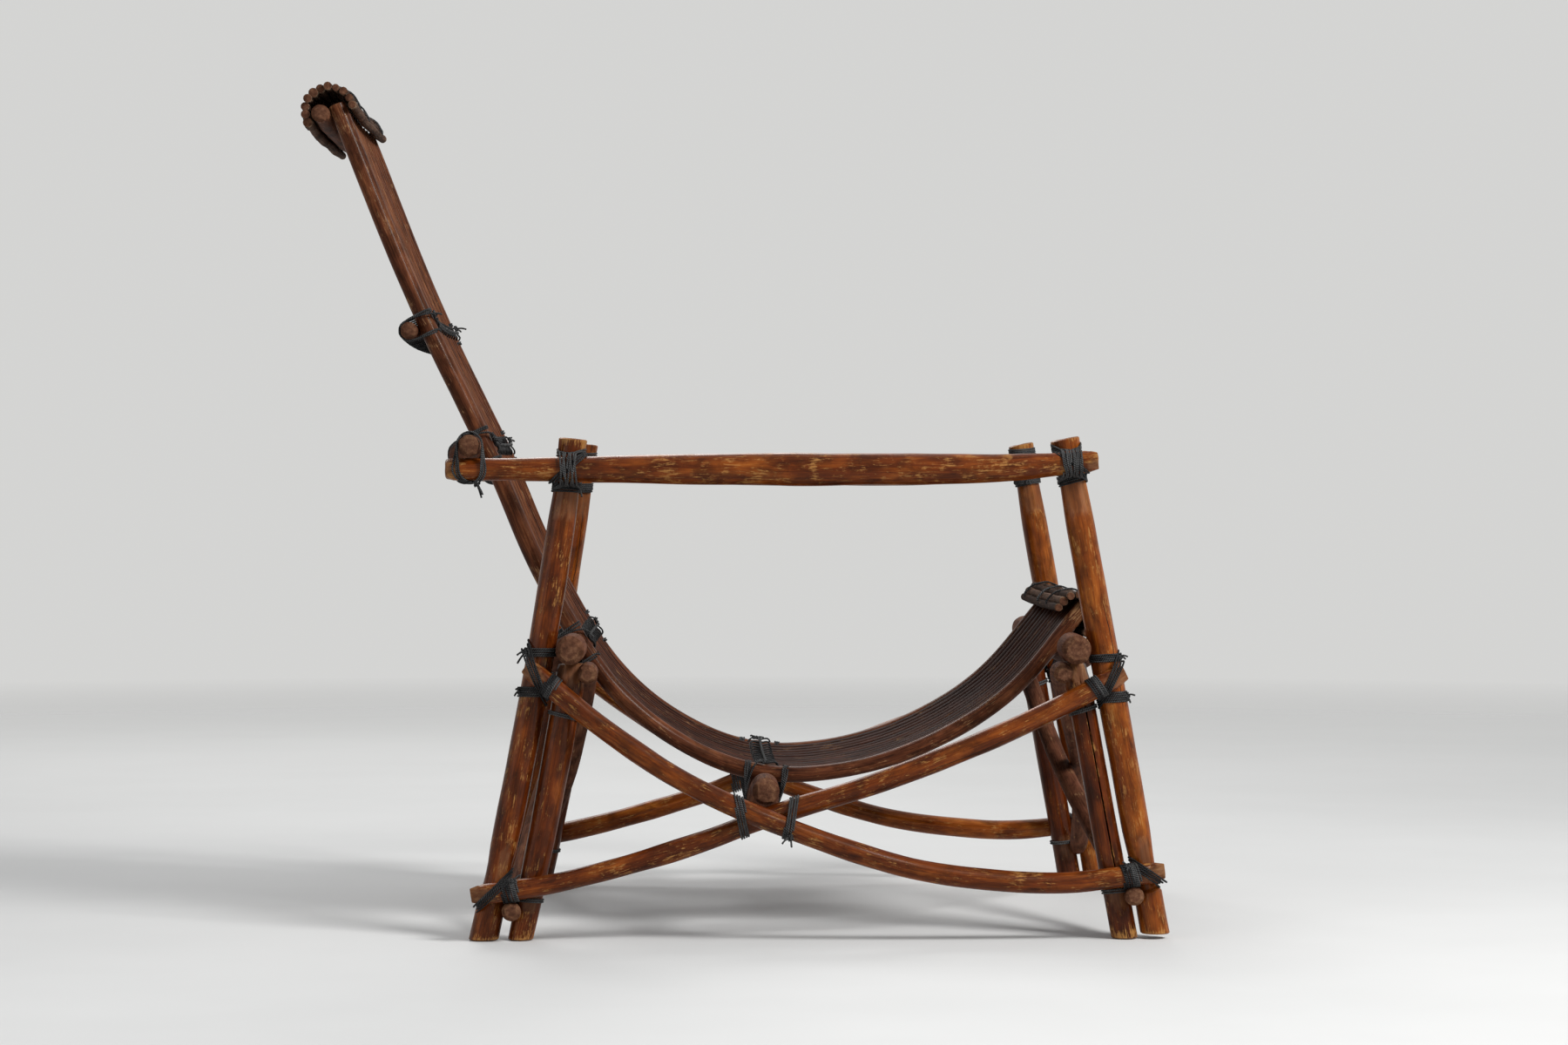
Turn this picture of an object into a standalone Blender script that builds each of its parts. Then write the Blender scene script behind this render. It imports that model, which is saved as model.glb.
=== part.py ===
"""Low lounge chair of round poles lashed with cord.

The seat and the back are one bent sheet: two side rails and the slats between them, carried by six crossbars.
Two armrests, four long legs, four short posts, four side stretchers and four braces make the frame.
+X is the front of the chair, +Z is up and the chair is the same on both sides of the plane y = 0.
"""

import functools
import math

import bmesh
import bpy
import numpy as np
from mathutils import Vector

# Clearances between touching poles, and between a cord and what it binds
TOUCH = 0.0003
CORD_TOUCH = 0.0006

# Height of the armrests' axes, and of the long legs' tops above them
ARM_HEIGHT = 0.538
LEG_ABOVE_ARM = 0.034

# Long legs
FRONT_FOOT_X = 0.419
FRONT_TOP_X = 0.316
REAR_FOOT_X = -0.352
REAR_TOP_X = -0.250
REAR_LEG_BOW = 0.007
FRONT_LEG_LIFT = 0.005
FRONT_LEG_RADIUS = 0.0165
REAR_LEG_RADIUS = 0.0162
HALF_TRACK_TOP = 0.2925
HALF_TRACK_FLOOR = 0.315
LEG_STEPS = 6
POST_STEPS = 4
SAW_ALLOWANCE = 0.030

# Short posts beside the legs
FRONT_POST_RADIUS = 0.0150
REAR_POST_TOP_RADIUS = 0.0175
REAR_POST_FOOT_RADIUS = 0.0145
POST_GAP = 0.0046
REAR_POST_SPREAD = 0.007

# Armrests
ARM_FRONT_RISE = 0.010
ARM_RISE_X = 0.150
ARM_REAR_X = -0.394
ARM_FRONT_X = 0.353
ARM_REAR_RADIUS = 0.0130
ARM_MIDDLE_RADIUS = 0.0187
ARM_FRONT_RADIUS = 0.0120
ARM_REAR_LEG_RADIUS = 0.0150
ARM_STEPS = 9

# Height of the crossbars at the front and the rear of the seat, which the stretchers and the sling follow
SEAT_BAR_HEIGHT = 0.332

# Side stretchers: points of their axes in the side view, with heights as shares of the seat bars' height
STRETCHER_RADIUS = 0.0120
FALLING_STRETCHER_SHARES = ((-0.302, 0.943), (-0.207, 0.717), (-0.127, 0.560), (-0.032, 0.428), (0.130, 0.259),
                            (0.245, 0.208), (0.318, 0.202), (0.425, 0.238))
RISING_STRETCHER_SHARES = ((-0.364, 0.160), (-0.266, 0.205), (-0.107, 0.337), (-0.032, 0.422), (0.110, 0.557),
                           (0.270, 0.750), (0.381, 0.919))
STRETCHER_STEPS = 2

# Sling: points of the rails' axis in the side view, from the front edge to the head.
# Heights are shares of the seat bars' height on the seat, and rises above the seat bars on the back.
FRONT_EDGE_SETBACK = 0.013
FRONT_EDGE_RISE = 0.046
SEAT_SHARES = ((0.254, 0.822), (0.142, 0.627), (0.035, 0.551), (-0.043, 0.560), (-0.122, 0.654), (-0.202, 0.843))
BACK_RISES = ((-0.280, 0.068), (-0.351, 0.227), (-0.437, 0.408), (-0.5265, 0.631))
HALF_RAIL_SPAN = 0.215
RAIL_RADIUS = 0.0103
SLAT_COUNT = 11
SLAT_GAP = 0.0054
SLAT_THICKNESS = 0.0185
DISH = 0.003
SLING_STEPS = 30
DISH_STEPS = 4
SLAT_TILT = math.radians(90)

# Crossbars
SEAT_BAR_RADIUS = 0.0185
SEAT_BAR_END_RADIUS = 0.0165
ARM_BAR_X = -0.367
ARM_BAR_RADIUS = 0.0165
ARM_BAR_END_RADIUS = 0.0130
LOW_BAR_RADIUS = 0.0185
LOW_BAR_END_RADIUS = 0.0155
BACK_BAR_RADIUS = 0.0105
BACK_BAR_HEIGHT = 0.705
HEAD_BAR_DROP = 0.004
HALF_BAR_LENGTH = 0.350
BACK_BAR_PAST_RAIL = 0.027
BAR_PAST_RAIL = 0.009
BAR_BEFORE_LEG = 0.004

# Braces that cross at the front and at the rear
BRACE_RADIUS = 0.0112
BRACE_LET_IN = 0.009
BRACE_LEVEL_RUN = 0.055
BRACE_FOOT_HEIGHT = 0.055
HALF_BRACE_TOP_SPAN = 0.338
HALF_BRACE_FOOT_SPAN = 0.350
BRACE_STEPS = 3

# Rolls of thin sticks over the two ends of the sling
STICK_RADIUS = 0.0052
STICK_FLAT = math.radians(32)
STICK_VALLEY = 0.0008
HEAD_STICKS = 9
HEAD_ROLL_REACH = math.radians(98)
FRONT_STICKS = 10
FRONT_ROLL_RADIUS = 0.0235
FRONT_ROLL_REACH = math.radians(106)
ROLL_PAST_RAIL = 0.014

# Cord of the lashings
CORD_RADIUS = 0.0014
CORD_PITCH = 0.0036
LASHING_TURNS = 3
LOOP_POINTS = 14
LOOP_EASE = 1.06
SEIZING_EASE = 1.085
SEIZING_SHOULDER = 0.8

# Sections: sides of a pole and of a cord, as bevel resolutions
POLE_RESOLUTION = 2
BAR_RESOLUTION = 4
SLAT_RESOLUTION = 0
CORD_RESOLUTION = 0

# Points in each span of a finely followed curve, and the distance over which a direction is measured
FINE_STEPS = 24
PROBE = 0.006

WOOD = (0.23, 0.075, 0.030, 1.0)
SLAT_WOOD = (0.17, 0.058, 0.028, 1.0)
STICK_WOOD = (0.27, 0.17, 0.11, 1.0)
CORD_COLOUR = (0.035, 0.036, 0.040, 1.0)

LEG_HEIGHT = ARM_HEIGHT + LEG_ABOVE_ARM
FALLING_STRETCHER = tuple((x, share * SEAT_BAR_HEIGHT) for x, share in FALLING_STRETCHER_SHARES)
RISING_STRETCHER = tuple((x, share * SEAT_BAR_HEIGHT) for x, share in RISING_STRETCHER_SHARES)
SLAT_WIDTH = (2 * (HALF_RAIL_SPAN - RAIL_RADIUS) - (SLAT_COUNT + 1) * SLAT_GAP) / SLAT_COUNT
SLAT_PITCH = SLAT_WIDTH + SLAT_GAP
HALF_ROLL_LENGTH = HALF_RAIL_SPAN + ROLL_PAST_RAIL
HALF_BACK_BAR_LENGTH = HALF_RAIL_SPAN + BACK_BAR_PAST_RAIL
SIDES = {"near": -1, "far": 1}


def clear_scene():
    for thing in list(bpy.data.objects):
        bpy.data.objects.remove(thing, do_unlink=True)


def new_collection(name):
    group = bpy.data.collections.new(name)
    bpy.context.scene.collection.children.link(group)
    return group


def finish_of(name, colour, roughness):
    made = bpy.data.materials.new(name + "_finish")
    made.use_nodes = True
    shader = made.node_tree.nodes["Principled BSDF"]
    shader.inputs["Base Color"].default_value = colour
    shader.inputs["Roughness"].default_value = roughness
    shader.inputs["Metallic"].default_value = 0.0
    return made


# Lines in the side view

def smooth_through(points, steps):
    """Points of a centripetal Catmull-Rom curve through the given ones."""
    given = [np.array(point, float) for point in points]
    line = [2 * given[0] - given[1], *given, 2 * given[-1] - given[-2]]
    knots = np.cumsum([0.0] + [math.sqrt(np.linalg.norm(b - a)) for a, b in zip(line, line[1:])])
    found = []
    for i in range(1, len(line) - 2):
        for t in np.linspace(knots[i], knots[i + 1], steps, endpoint=False):
            row = line[i - 1:i + 3]
            for reach in (1, 2):
                row = [blend(row[j], row[j + 1], knots[i - 1 + j], knots[i - 1 + j + reach], t)
                       for j in range(len(row) - 1)]
            found.append(blend(row[0], row[1], knots[i], knots[i + 1], t))
    found.append(given[-1])
    return np.array(found)


def blend(a, b, start, end, t):
    return a + (b - a) * (t - start) / (end - start)


def lengths_along(points):
    return np.concatenate([[0.0], np.cumsum(np.linalg.norm(np.diff(points, axis=0), axis=1))])


def point_at(points, lengths, distance):
    return np.array([np.interp(distance, lengths, column) for column in points.T])


def track(z):
    """Half the distance between the two sides' legs at a height."""
    return HALF_TRACK_FLOOR + (HALF_TRACK_TOP - HALF_TRACK_FLOOR) * z / LEG_HEIGHT


def front_leg_x(z):
    return FRONT_FOOT_X + (FRONT_TOP_X - FRONT_FOOT_X) * z / LEG_HEIGHT


SLING = ((front_leg_x(SEAT_BAR_HEIGHT) - FRONT_EDGE_SETBACK, SEAT_BAR_HEIGHT + FRONT_EDGE_RISE),
         *((x, share * SEAT_BAR_HEIGHT) for x, share in SEAT_SHARES),
         *((x, SEAT_BAR_HEIGHT + rise) for x, rise in BACK_RISES))


def rear_leg_x(z):
    share = z / LEG_HEIGHT
    return REAR_FOOT_X + (REAR_TOP_X - REAR_FOOT_X) * share + REAR_LEG_BOW * 4 * share * (1 - share)


def rear_post_radius(z):
    return REAR_POST_FOOT_RADIUS + (REAR_POST_TOP_RADIUS - REAR_POST_FOOT_RADIUS) * z / SEAT_BAR_HEIGHT


def front_post_x(z):
    return front_leg_x(z) - FRONT_LEG_RADIUS - FRONT_POST_RADIUS - POST_GAP


def rear_post_x(z):
    spread = REAR_POST_SPREAD * (1 - z / SEAT_BAR_HEIGHT)
    return rear_leg_x(z) + REAR_LEG_RADIUS + rear_post_radius(z) + POST_GAP + spread


def lean(leg_x, z):
    """Length along a leaning leg for each unit of its height in the side view."""
    return math.hypot(1.0, (leg_x(z + PROBE) - leg_x(z - PROBE)) / (2 * PROBE))


@functools.lru_cache(maxsize=None)
def route_line(route):
    return smooth_through(route, FINE_STEPS)


def route_height(route, x):
    line = route_line(route)
    return float(np.interp(x, line[:, 0], line[:, 1]))


def route_slope(route, x):
    return (route_height(route, x + PROBE) - route_height(route, x - PROBE)) / (2 * PROBE)


def leg_crossing(route, leg_x):
    """Height where a stretcher's axis passes a leg's axis in the side view."""
    z = SEAT_BAR_HEIGHT / 2
    for _ in range(40):
        z = route_height(route, leg_x(z))
    return z


@functools.lru_cache(maxsize=None)
def stretcher_crossing():
    """Place where the two stretchers of a side cross in the side view."""
    xs = np.linspace(rear_leg_x(0) / 2, front_leg_x(0) / 2, 801)
    apart = [abs(route_height(FALLING_STRETCHER, x) - route_height(RISING_STRETCHER, x)) for x in xs]
    x = float(xs[int(np.argmin(apart))])
    return x, route_height(FALLING_STRETCHER, x)


def stretcher_y(route, x, bows_out):
    """Distance of a stretcher's axis from the plane y = 0: it lies outside the legs and posts."""
    share = np.clip((x - REAR_FOOT_X) / (FRONT_FOOT_X - REAR_FOOT_X), 0, 1)
    rear = max(REAR_LEG_RADIUS, REAR_POST_TOP_RADIUS)
    front = max(FRONT_LEG_RADIUS, FRONT_POST_RADIUS)
    base = track(route_height(route, x)) + rear + (front - rear) * share + STRETCHER_RADIUS + TOUCH
    if not bows_out:
        return base
    middle = stretcher_crossing()[0]
    reach = middle - REAR_FOOT_X if x < middle else FRONT_FOOT_X - middle
    away = min(1.0, abs(x - middle) / reach)
    return base + (2 * STRETCHER_RADIUS + TOUCH) * math.cos(0.5 * math.pi * away) ** 2


def arm_z(x):
    return ARM_HEIGHT + ARM_FRONT_RISE * max(0.0, (x - ARM_RISE_X) / (ARM_FRONT_X - ARM_RISE_X)) ** 2


def arm_radius(x):
    middle = 0.5 * (ARM_REAR_X + ARM_FRONT_X)
    front = front_leg_x(ARM_HEIGHT)
    stops = (ARM_REAR_X, rear_leg_x(ARM_HEIGHT), middle, 0.5 * (middle + front), front)
    sizes = (ARM_REAR_RADIUS, ARM_REAR_LEG_RADIUS, ARM_MIDDLE_RADIUS, ARM_MIDDLE_RADIUS, ARM_FRONT_RADIUS)
    return float(np.interp(x, stops, sizes))


def arm_y(x):
    """Distance of an armrest's axis from the plane y = 0: it lies outside the legs."""
    rear, front = rear_leg_x(ARM_HEIGHT), front_leg_x(ARM_HEIGHT)
    at_rear = track(arm_z(rear)) + REAR_LEG_RADIUS + arm_radius(rear) + TOUCH
    at_front = track(arm_z(front)) + FRONT_LEG_RADIUS + arm_radius(front) + TOUCH
    return at_rear + (at_front - at_rear) * (x - rear) / (front - rear)


DISH_YS = np.linspace(-HALF_RAIL_SPAN, HALF_RAIL_SPAN, DISH_STEPS + 1)


def dish(y):
    """How far the crossbars bend back behind the rails, in straight runs."""
    return float(np.interp(y, DISH_YS, DISH * (1 - (DISH_YS / HALF_RAIL_SPAN) ** 2)))


class Sling:
    """The rails' axis as straight runs in the side view, with a corner at each crossbar."""

    def __init__(self, bar_places):
        fine = smooth_through(SLING, FINE_STEPS)
        along = lengths_along(fine)
        self.stations = {"head": float(along[-1]) - HEAD_BAR_DROP}
        for name, place in bar_places.items():
            nearest = int(np.argmin(np.linalg.norm(fine - np.array(place), axis=1)))
            self.stations[name] = float(along[nearest])
        stops = sorted([0.0, *self.stations.values(), float(along[-1])])
        lengths = [0.0]
        for first, last in zip(stops, stops[1:]):
            runs = max(1, round(SLING_STEPS * (last - first) / along[-1]))
            lengths += list(np.linspace(first, last, runs + 1)[1:])
        self.lengths = np.array(lengths)
        self.line = np.array([point_at(fine, along, d) for d in self.lengths])

    def place(self, distance):
        return point_at(self.line, self.lengths, distance)

    def along(self, distance):
        """Unit vector in the side view towards the head."""
        low, high = max(distance - PROBE, 0.0), min(distance + PROBE, self.lengths[-1])
        run = self.place(high) - self.place(low)
        return run / np.linalg.norm(run)

    def behind(self, distance):
        """Unit vector in the side view to the space behind and below the sling."""
        run = self.along(distance)
        return np.array([-run[1], run[0]])

    def moved_back(self, depth):
        """The line moved back by a depth, with its corners kept square to the runs on both sides."""
        moved = []
        for i, point in enumerate(self.line):
            runs = [self.line[j + 1] - self.line[j] for j in (i - 1, i) if 0 <= j < len(self.line) - 1]
            units = [run / np.linalg.norm(run) for run in runs]
            back = sum(np.array([-unit[1], unit[0]]) for unit in units)
            back /= np.linalg.norm(back)
            spread = back @ np.array([-units[0][1], units[0][0]])
            moved.append(point + back * depth / spread)
        return moved


# Solids

def tube(name, points, radii, finish, resolution):
    """A curve object of round section along straight runs between the points."""
    curve = bpy.data.curves.new(name, "CURVE")
    curve.dimensions = "3D"
    curve.bevel_depth = max(radii)
    curve.bevel_resolution = resolution
    curve.use_fill_caps = True
    spline = curve.splines.new("POLY")
    spline.points.add(len(points) - 1)
    for target, point, radius in zip(spline.points, points, radii):
        target.co = (*point, 1.0)
        target.radius = radius / curve.bevel_depth
    curve.materials.append(finish)
    return placed(name, curve, PARTS)


def placed(name, data, group):
    made = bpy.data.objects.new(name, data)
    group.objects.link(made)
    made.parent = CHAIR
    return made


def pole(name, points, radii, resolution=POLE_RESOLUTION):
    return tube(name, points, radii, finish_of(name, WOOD, 0.32), resolution)


def as_mesh(thing):
    """A curve object made a mesh object of the same name, with its caps welded."""
    bpy.context.view_layer.update()
    mesh = bpy.data.meshes.new_from_object(thing.evaluated_get(bpy.context.evaluated_depsgraph_get()))
    body = bmesh.new()
    body.from_mesh(mesh)
    bmesh.ops.remove_doubles(body, verts=body.verts, dist=0.00001)
    bmesh.ops.recalc_face_normals(body, faces=body.faces)
    body.to_mesh(mesh)
    body.free()
    name, group, place = thing.name, thing.users_collection[0], thing.matrix_world.copy()
    bpy.data.objects.remove(thing, do_unlink=True)
    made = placed(name, mesh, group)
    made.matrix_world = place
    mesh.shade_smooth()
    mesh.set_sharp_from_angle(angle=math.radians(40))
    return made


def cut_level(thing, z, keep_above):
    """Cut a mesh object level at a height and close the cut."""
    body = bmesh.new()
    body.from_mesh(thing.data)
    everything = [*body.verts, *body.edges, *body.faces]
    outward = (0, 0, -1) if keep_above else (0, 0, 1)
    cut = bmesh.ops.bisect_plane(body, geom=everything, plane_co=(0, 0, z), plane_no=outward,
                                 clear_outer=True)
    rim = [part for part in cut["geom_cut"] if isinstance(part, bmesh.types.BMEdge)]
    bmesh.ops.edgeloop_fill(body, edges=rim)
    bmesh.ops.recalc_face_normals(body, faces=body.faces)
    body.to_mesh(thing.data)
    body.free()


def notch(thing, cutters):
    """Cut the braces' seats out of a leg or post."""
    for cutter in cutters:
        modifier = thing.modifiers.new(cutter.name, "BOOLEAN")
        modifier.operation = "DIFFERENCE"
        modifier.object = cutter
        modifier.solver = "EXACT"


def make_upright(name, axis_x, radius_at, sign, heights):
    points = [(axis_x(z), sign * track(z), z) for z in heights]
    return as_mesh(pole(name, points, [radius_at(z) for z in heights]))


def make_legs(side, sign):
    """The long legs and short posts of one side."""
    heights = np.linspace(-SAW_ALLOWANCE, LEG_HEIGHT, LEG_STEPS + 1)
    front_leg = make_upright("front_leg_" + side, front_leg_x, lambda z: FRONT_LEG_RADIUS, sign, heights)
    rear_leg = make_upright("rear_leg_" + side, rear_leg_x, lambda z: REAR_LEG_RADIUS, sign, heights)
    cut_level(front_leg, FRONT_LEG_LIFT, True)
    cut_level(rear_leg, 0.0, True)
    top = SEAT_BAR_HEIGHT - SEAT_BAR_END_RADIUS - TOUCH
    heights = np.linspace(-SAW_ALLOWANCE, top + SAW_ALLOWANCE, POST_STEPS + 1)
    front_post = make_upright("front_post_" + side, front_post_x, lambda z: FRONT_POST_RADIUS, sign, heights)
    rear_post = make_upright("rear_post_" + side, rear_post_x, rear_post_radius, sign, heights)
    for post in (front_post, rear_post):
        cut_level(post, 0.0, True)
        cut_level(post, top, False)
    return front_leg, rear_leg, front_post, rear_post


def make_armrest(side, sign):
    between = np.linspace(rear_leg_x(ARM_HEIGHT), front_leg_x(ARM_HEIGHT), ARM_STEPS)
    stops = (ARM_REAR_X, ARM_BAR_X, *between, ARM_FRONT_X)
    pole("armrest_" + side, [(x, sign * arm_y(x), arm_z(x)) for x in stops], [arm_radius(x) for x in stops])


def make_stretchers(side, sign):
    for name, route, bows_out in (("falling_stretcher_", FALLING_STRETCHER, True),
                                  ("rising_stretcher_", RISING_STRETCHER, False)):
        line = smooth_through(route, STRETCHER_STEPS)
        points = [(x, sign * stretcher_y(route, x, bows_out), z) for x, z in line]
        pole(name + side, points, [STRETCHER_RADIUS] * len(points))


def brace_rows():
    """Each pair of braces: its name, and its upper and lower places in the side view."""
    under_bar = SEAT_BAR_HEIGHT - SEAT_BAR_END_RADIUS - BRACE_RADIUS - TOUCH
    rows = []
    for name, leg_x, post_x, post_radius, route, inward in (
            ("front_brace", front_leg_x, front_post_x, FRONT_POST_RADIUS, FALLING_STRETCHER, -1),
            ("rear_brace", rear_leg_x, rear_post_x, rear_post_radius(under_bar), RISING_STRETCHER, 1)):
        top_x = post_x(under_bar) + inward * (post_radius + BRACE_RADIUS - BRACE_LET_IN)
        foot_x = 0.5 * (leg_x(BRACE_FOOT_HEIGHT) + post_x(BRACE_FOOT_HEIGHT))
        steep = math.hypot(1.0, route_slope(route, foot_x))
        foot_z = route_height(route, foot_x) - (STRETCHER_RADIUS + BRACE_RADIUS + TOUCH) * steep
        rows.append((name, (top_x, under_bar), (foot_x, foot_z)))
    return rows


def make_braces():
    """Two crossing braces at the front and two at the rear, and the cutters of their seats."""
    cutters = {"front": [], "rear": []}
    for name, top, foot in brace_rows():
        for side, sign in SIDES.items():
            bow = -sign * (BRACE_RADIUS + TOUCH)
            middle = (0.5 * (top[0] + foot[0]) + bow, 0.0, 0.5 * (top[1] + foot[1]))
            route = ((top[0], sign * HALF_BRACE_TOP_SPAN, top[1]),
                     (top[0], sign * (HALF_BRACE_TOP_SPAN - BRACE_LEVEL_RUN), top[1]),
                     middle,
                     (foot[0], -sign * (HALF_BRACE_FOOT_SPAN - BRACE_LEVEL_RUN), foot[1]),
                     (foot[0], -sign * HALF_BRACE_FOOT_SPAN, foot[1]))
            points = smooth_through(route, BRACE_STEPS)
            pole(name + "_" + side, points, [BRACE_RADIUS] * len(points))
            seat = as_mesh(pole("seat_of_" + name + "_" + side, points, [BRACE_RADIUS + TOUCH] * len(points)))
            seat.display_type = "WIRE"
            seat.hide_render = True
            PARTS.objects.unlink(seat)
            CUTTERS.objects.link(seat)
            cutters[name.split("_")[0]].append(seat)
    return cutters


def bar_ends():
    """Where the crossbars that reach the frame pass the frame, in the side view."""
    lean_rear = lean(rear_leg_x, SEAT_BAR_HEIGHT)
    lean_front = lean(front_leg_x, SEAT_BAR_HEIGHT)
    rear_x = rear_leg_x(SEAT_BAR_HEIGHT) + (REAR_LEG_RADIUS + SEAT_BAR_END_RADIUS + TOUCH) * lean_rear
    front_x = front_leg_x(SEAT_BAR_HEIGHT) - (FRONT_LEG_RADIUS + SEAT_BAR_END_RADIUS + TOUCH) * lean_front
    arm_bar_z = arm_z(ARM_BAR_X) + arm_radius(ARM_BAR_X) + ARM_BAR_END_RADIUS + TOUCH
    cross_x, cross_z = stretcher_crossing()
    steep = max(abs(route_slope(FALLING_STRETCHER, cross_x)), abs(route_slope(RISING_STRETCHER, cross_x)))
    low_z = cross_z + (STRETCHER_RADIUS + LOW_BAR_END_RADIUS + TOUCH) * math.hypot(1.0, steep)
    return {"rear_seat": (rear_x, SEAT_BAR_HEIGHT), "front_seat": (front_x, SEAT_BAR_HEIGHT),
            "rear_arm": (ARM_BAR_X, arm_bar_z), "low_middle": (cross_x, low_z)}


def back_bar_place():
    """The place on the sling at the height of the middle bar of the back."""
    fine = smooth_through(SLING, FINE_STEPS)
    back = fine[fine[:, 1] > SEAT_BAR_HEIGHT]
    back = back[back[:, 0] < 0]
    return tuple(back[int(np.argmin(np.abs(back[:, 1] - BACK_BAR_HEIGHT)))])


# Radius of each crossbar between the rails and at its ends
BAR_RADII = {"rear_seat": (SEAT_BAR_RADIUS, SEAT_BAR_END_RADIUS),
             "front_seat": (SEAT_BAR_RADIUS, SEAT_BAR_END_RADIUS),
             "rear_arm": (ARM_BAR_RADIUS, ARM_BAR_END_RADIUS),
             "low_middle": (LOW_BAR_RADIUS, LOW_BAR_END_RADIUS),
             "back_middle": (BACK_BAR_RADIUS, BACK_BAR_RADIUS),
             "head": (BACK_BAR_RADIUS, BACK_BAR_RADIUS)}


def bar_axis(sling, name, y):
    """The axis of a crossbar in the side view, between the rails."""
    station = sling.stations[name]
    depth = RAIL_RADIUS + BAR_RADII[name][0] + TOUCH + dish(y)
    return sling.place(station) + sling.behind(station) * depth


def make_crossbars(sling):
    ends = bar_ends()
    past_rail = HALF_RAIL_SPAN + RAIL_RADIUS + BAR_PAST_RAIL
    at_frame = track(LEG_HEIGHT) - max(FRONT_LEG_RADIUS, REAR_LEG_RADIUS) - BAR_BEFORE_LEG
    for name in sling.stations:
        radius, end_radius = BAR_RADII[name]
        half = [(y, bar_axis(sling, name, y), radius) for y in DISH_YS if y >= 0]
        if name in ends:
            half.append((past_rail, bar_axis(sling, name, past_rail), radius))
            half.append((at_frame, np.array(ends[name]), end_radius))
            half.append((HALF_BAR_LENGTH, np.array(ends[name]), end_radius))
        else:
            half.append((HALF_BACK_BAR_LENGTH, bar_axis(sling, name, HALF_RAIL_SPAN), radius))
        rows = [(-y, place, size) for y, place, size in reversed(half) if y > 0] + half
        points = [(place[0], y, place[1]) for y, place, _ in rows]
        pole(name + "_crossbar", points, [size for _, _, size in rows], BAR_RESOLUTION)


def slat_depth(y):
    """How far a slat's middle lies behind the rails' axis, so that its edge rests on the bars."""
    return RAIL_RADIUS + min(dish(y - SLAT_WIDTH / 2), dish(y + SLAT_WIDTH / 2)) - SLAT_THICKNESS / 2


def slat_ys():
    return [(k - (SLAT_COUNT - 1) / 2) * SLAT_PITCH for k in range(SLAT_COUNT)]


def make_rails(sling):
    for side, sign in SIDES.items():
        points = [(x, sign * HALF_RAIL_SPAN, z) for x, z in sling.line]
        pole("side_rail_" + side, points, [RAIL_RADIUS] * len(points))


def make_slats(sling):
    """Flat sticks with round edges: a flat curve in the side view, extruded across the chair."""
    for number, y in enumerate(slat_ys(), 1):
        name = "slat_%02d" % number
        curve = bpy.data.curves.new(name, "CURVE")
        curve.dimensions = "3D"
        curve.twist_mode = "Z_UP"
        curve.bevel_depth = SLAT_THICKNESS / 2
        curve.extrude = (SLAT_WIDTH - SLAT_THICKNESS) / 2
        curve.bevel_resolution = SLAT_RESOLUTION
        curve.use_fill_caps = True
        spline = curve.splines.new("POLY")
        line = sling.moved_back(slat_depth(y))
        spline.points.add(len(line) - 1)
        for target, (x, z) in zip(spline.points, line):
            target.co = (x, y, z, 1.0)
            target.tilt = SLAT_TILT
        curve.materials.append(finish_of(name, SLAT_WOOD, 0.38))
        placed(name, curve, PARTS)


# Rolls of sticks

def roll_outline(count, radius, reach):
    """Closed outline of a row of round sticks along an arc, as (angle from the middle, distance) pairs."""
    angles = np.linspace(-reach, reach, count)
    half_step = reach / (count - 1)
    outer, inner = [], []
    for i, angle in enumerate(angles):
        for turn in (-STICK_FLAT, STICK_FLAT):
            rise = STICK_RADIUS * math.cos(turn)
            outer.append((angle + STICK_RADIUS * math.sin(turn) / radius, radius + rise))
        inner.append((angle, radius - STICK_RADIUS))
        if i < count - 1:
            outer.append((angle + half_step, radius + STICK_VALLEY))
    first_end = (angles[0] - STICK_RADIUS / radius, radius)
    last_end = (angles[-1] + STICK_RADIUS / radius, radius)
    return [first_end, *outer, last_end, *reversed(inner)]


def make_roll(name, middle_of, forward, backward, outline):
    """Extrude an outline of sticks across the chair in steps that follow the dish of the sling."""
    ys = [-HALF_ROLL_LENGTH, *DISH_YS, HALF_ROLL_LENGTH]
    body = bmesh.new()
    start = middle_of(ys[0])
    ring = []
    for angle, distance in outline:
        x, z = start + distance * (math.cos(angle) * forward + math.sin(angle) * backward)
        ring.append(body.verts.new((x, ys[0], z)))
    face = body.faces.new(ring)
    for y, last in zip(ys[1:], ys):
        made = bmesh.ops.extrude_face_region(body, geom=[face])["geom"]
        step = middle_of(y) - middle_of(last)
        moved = [part for part in made if isinstance(part, bmesh.types.BMVert)]
        bmesh.ops.translate(body, verts=moved, vec=(step[0], y - last, step[1]))
        fresh = [part for part in made if isinstance(part, bmesh.types.BMFace)][0]
        if last != ys[0]:
            bmesh.ops.delete(body, geom=[face], context="FACES_ONLY")
        face = fresh
    bmesh.ops.recalc_face_normals(body, faces=body.faces)
    mesh = bpy.data.meshes.new(name)
    body.to_mesh(mesh)
    body.free()
    mesh.materials.append(finish_of(name, STICK_WOOD, 0.55))
    placed(name, mesh, PARTS)


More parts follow.
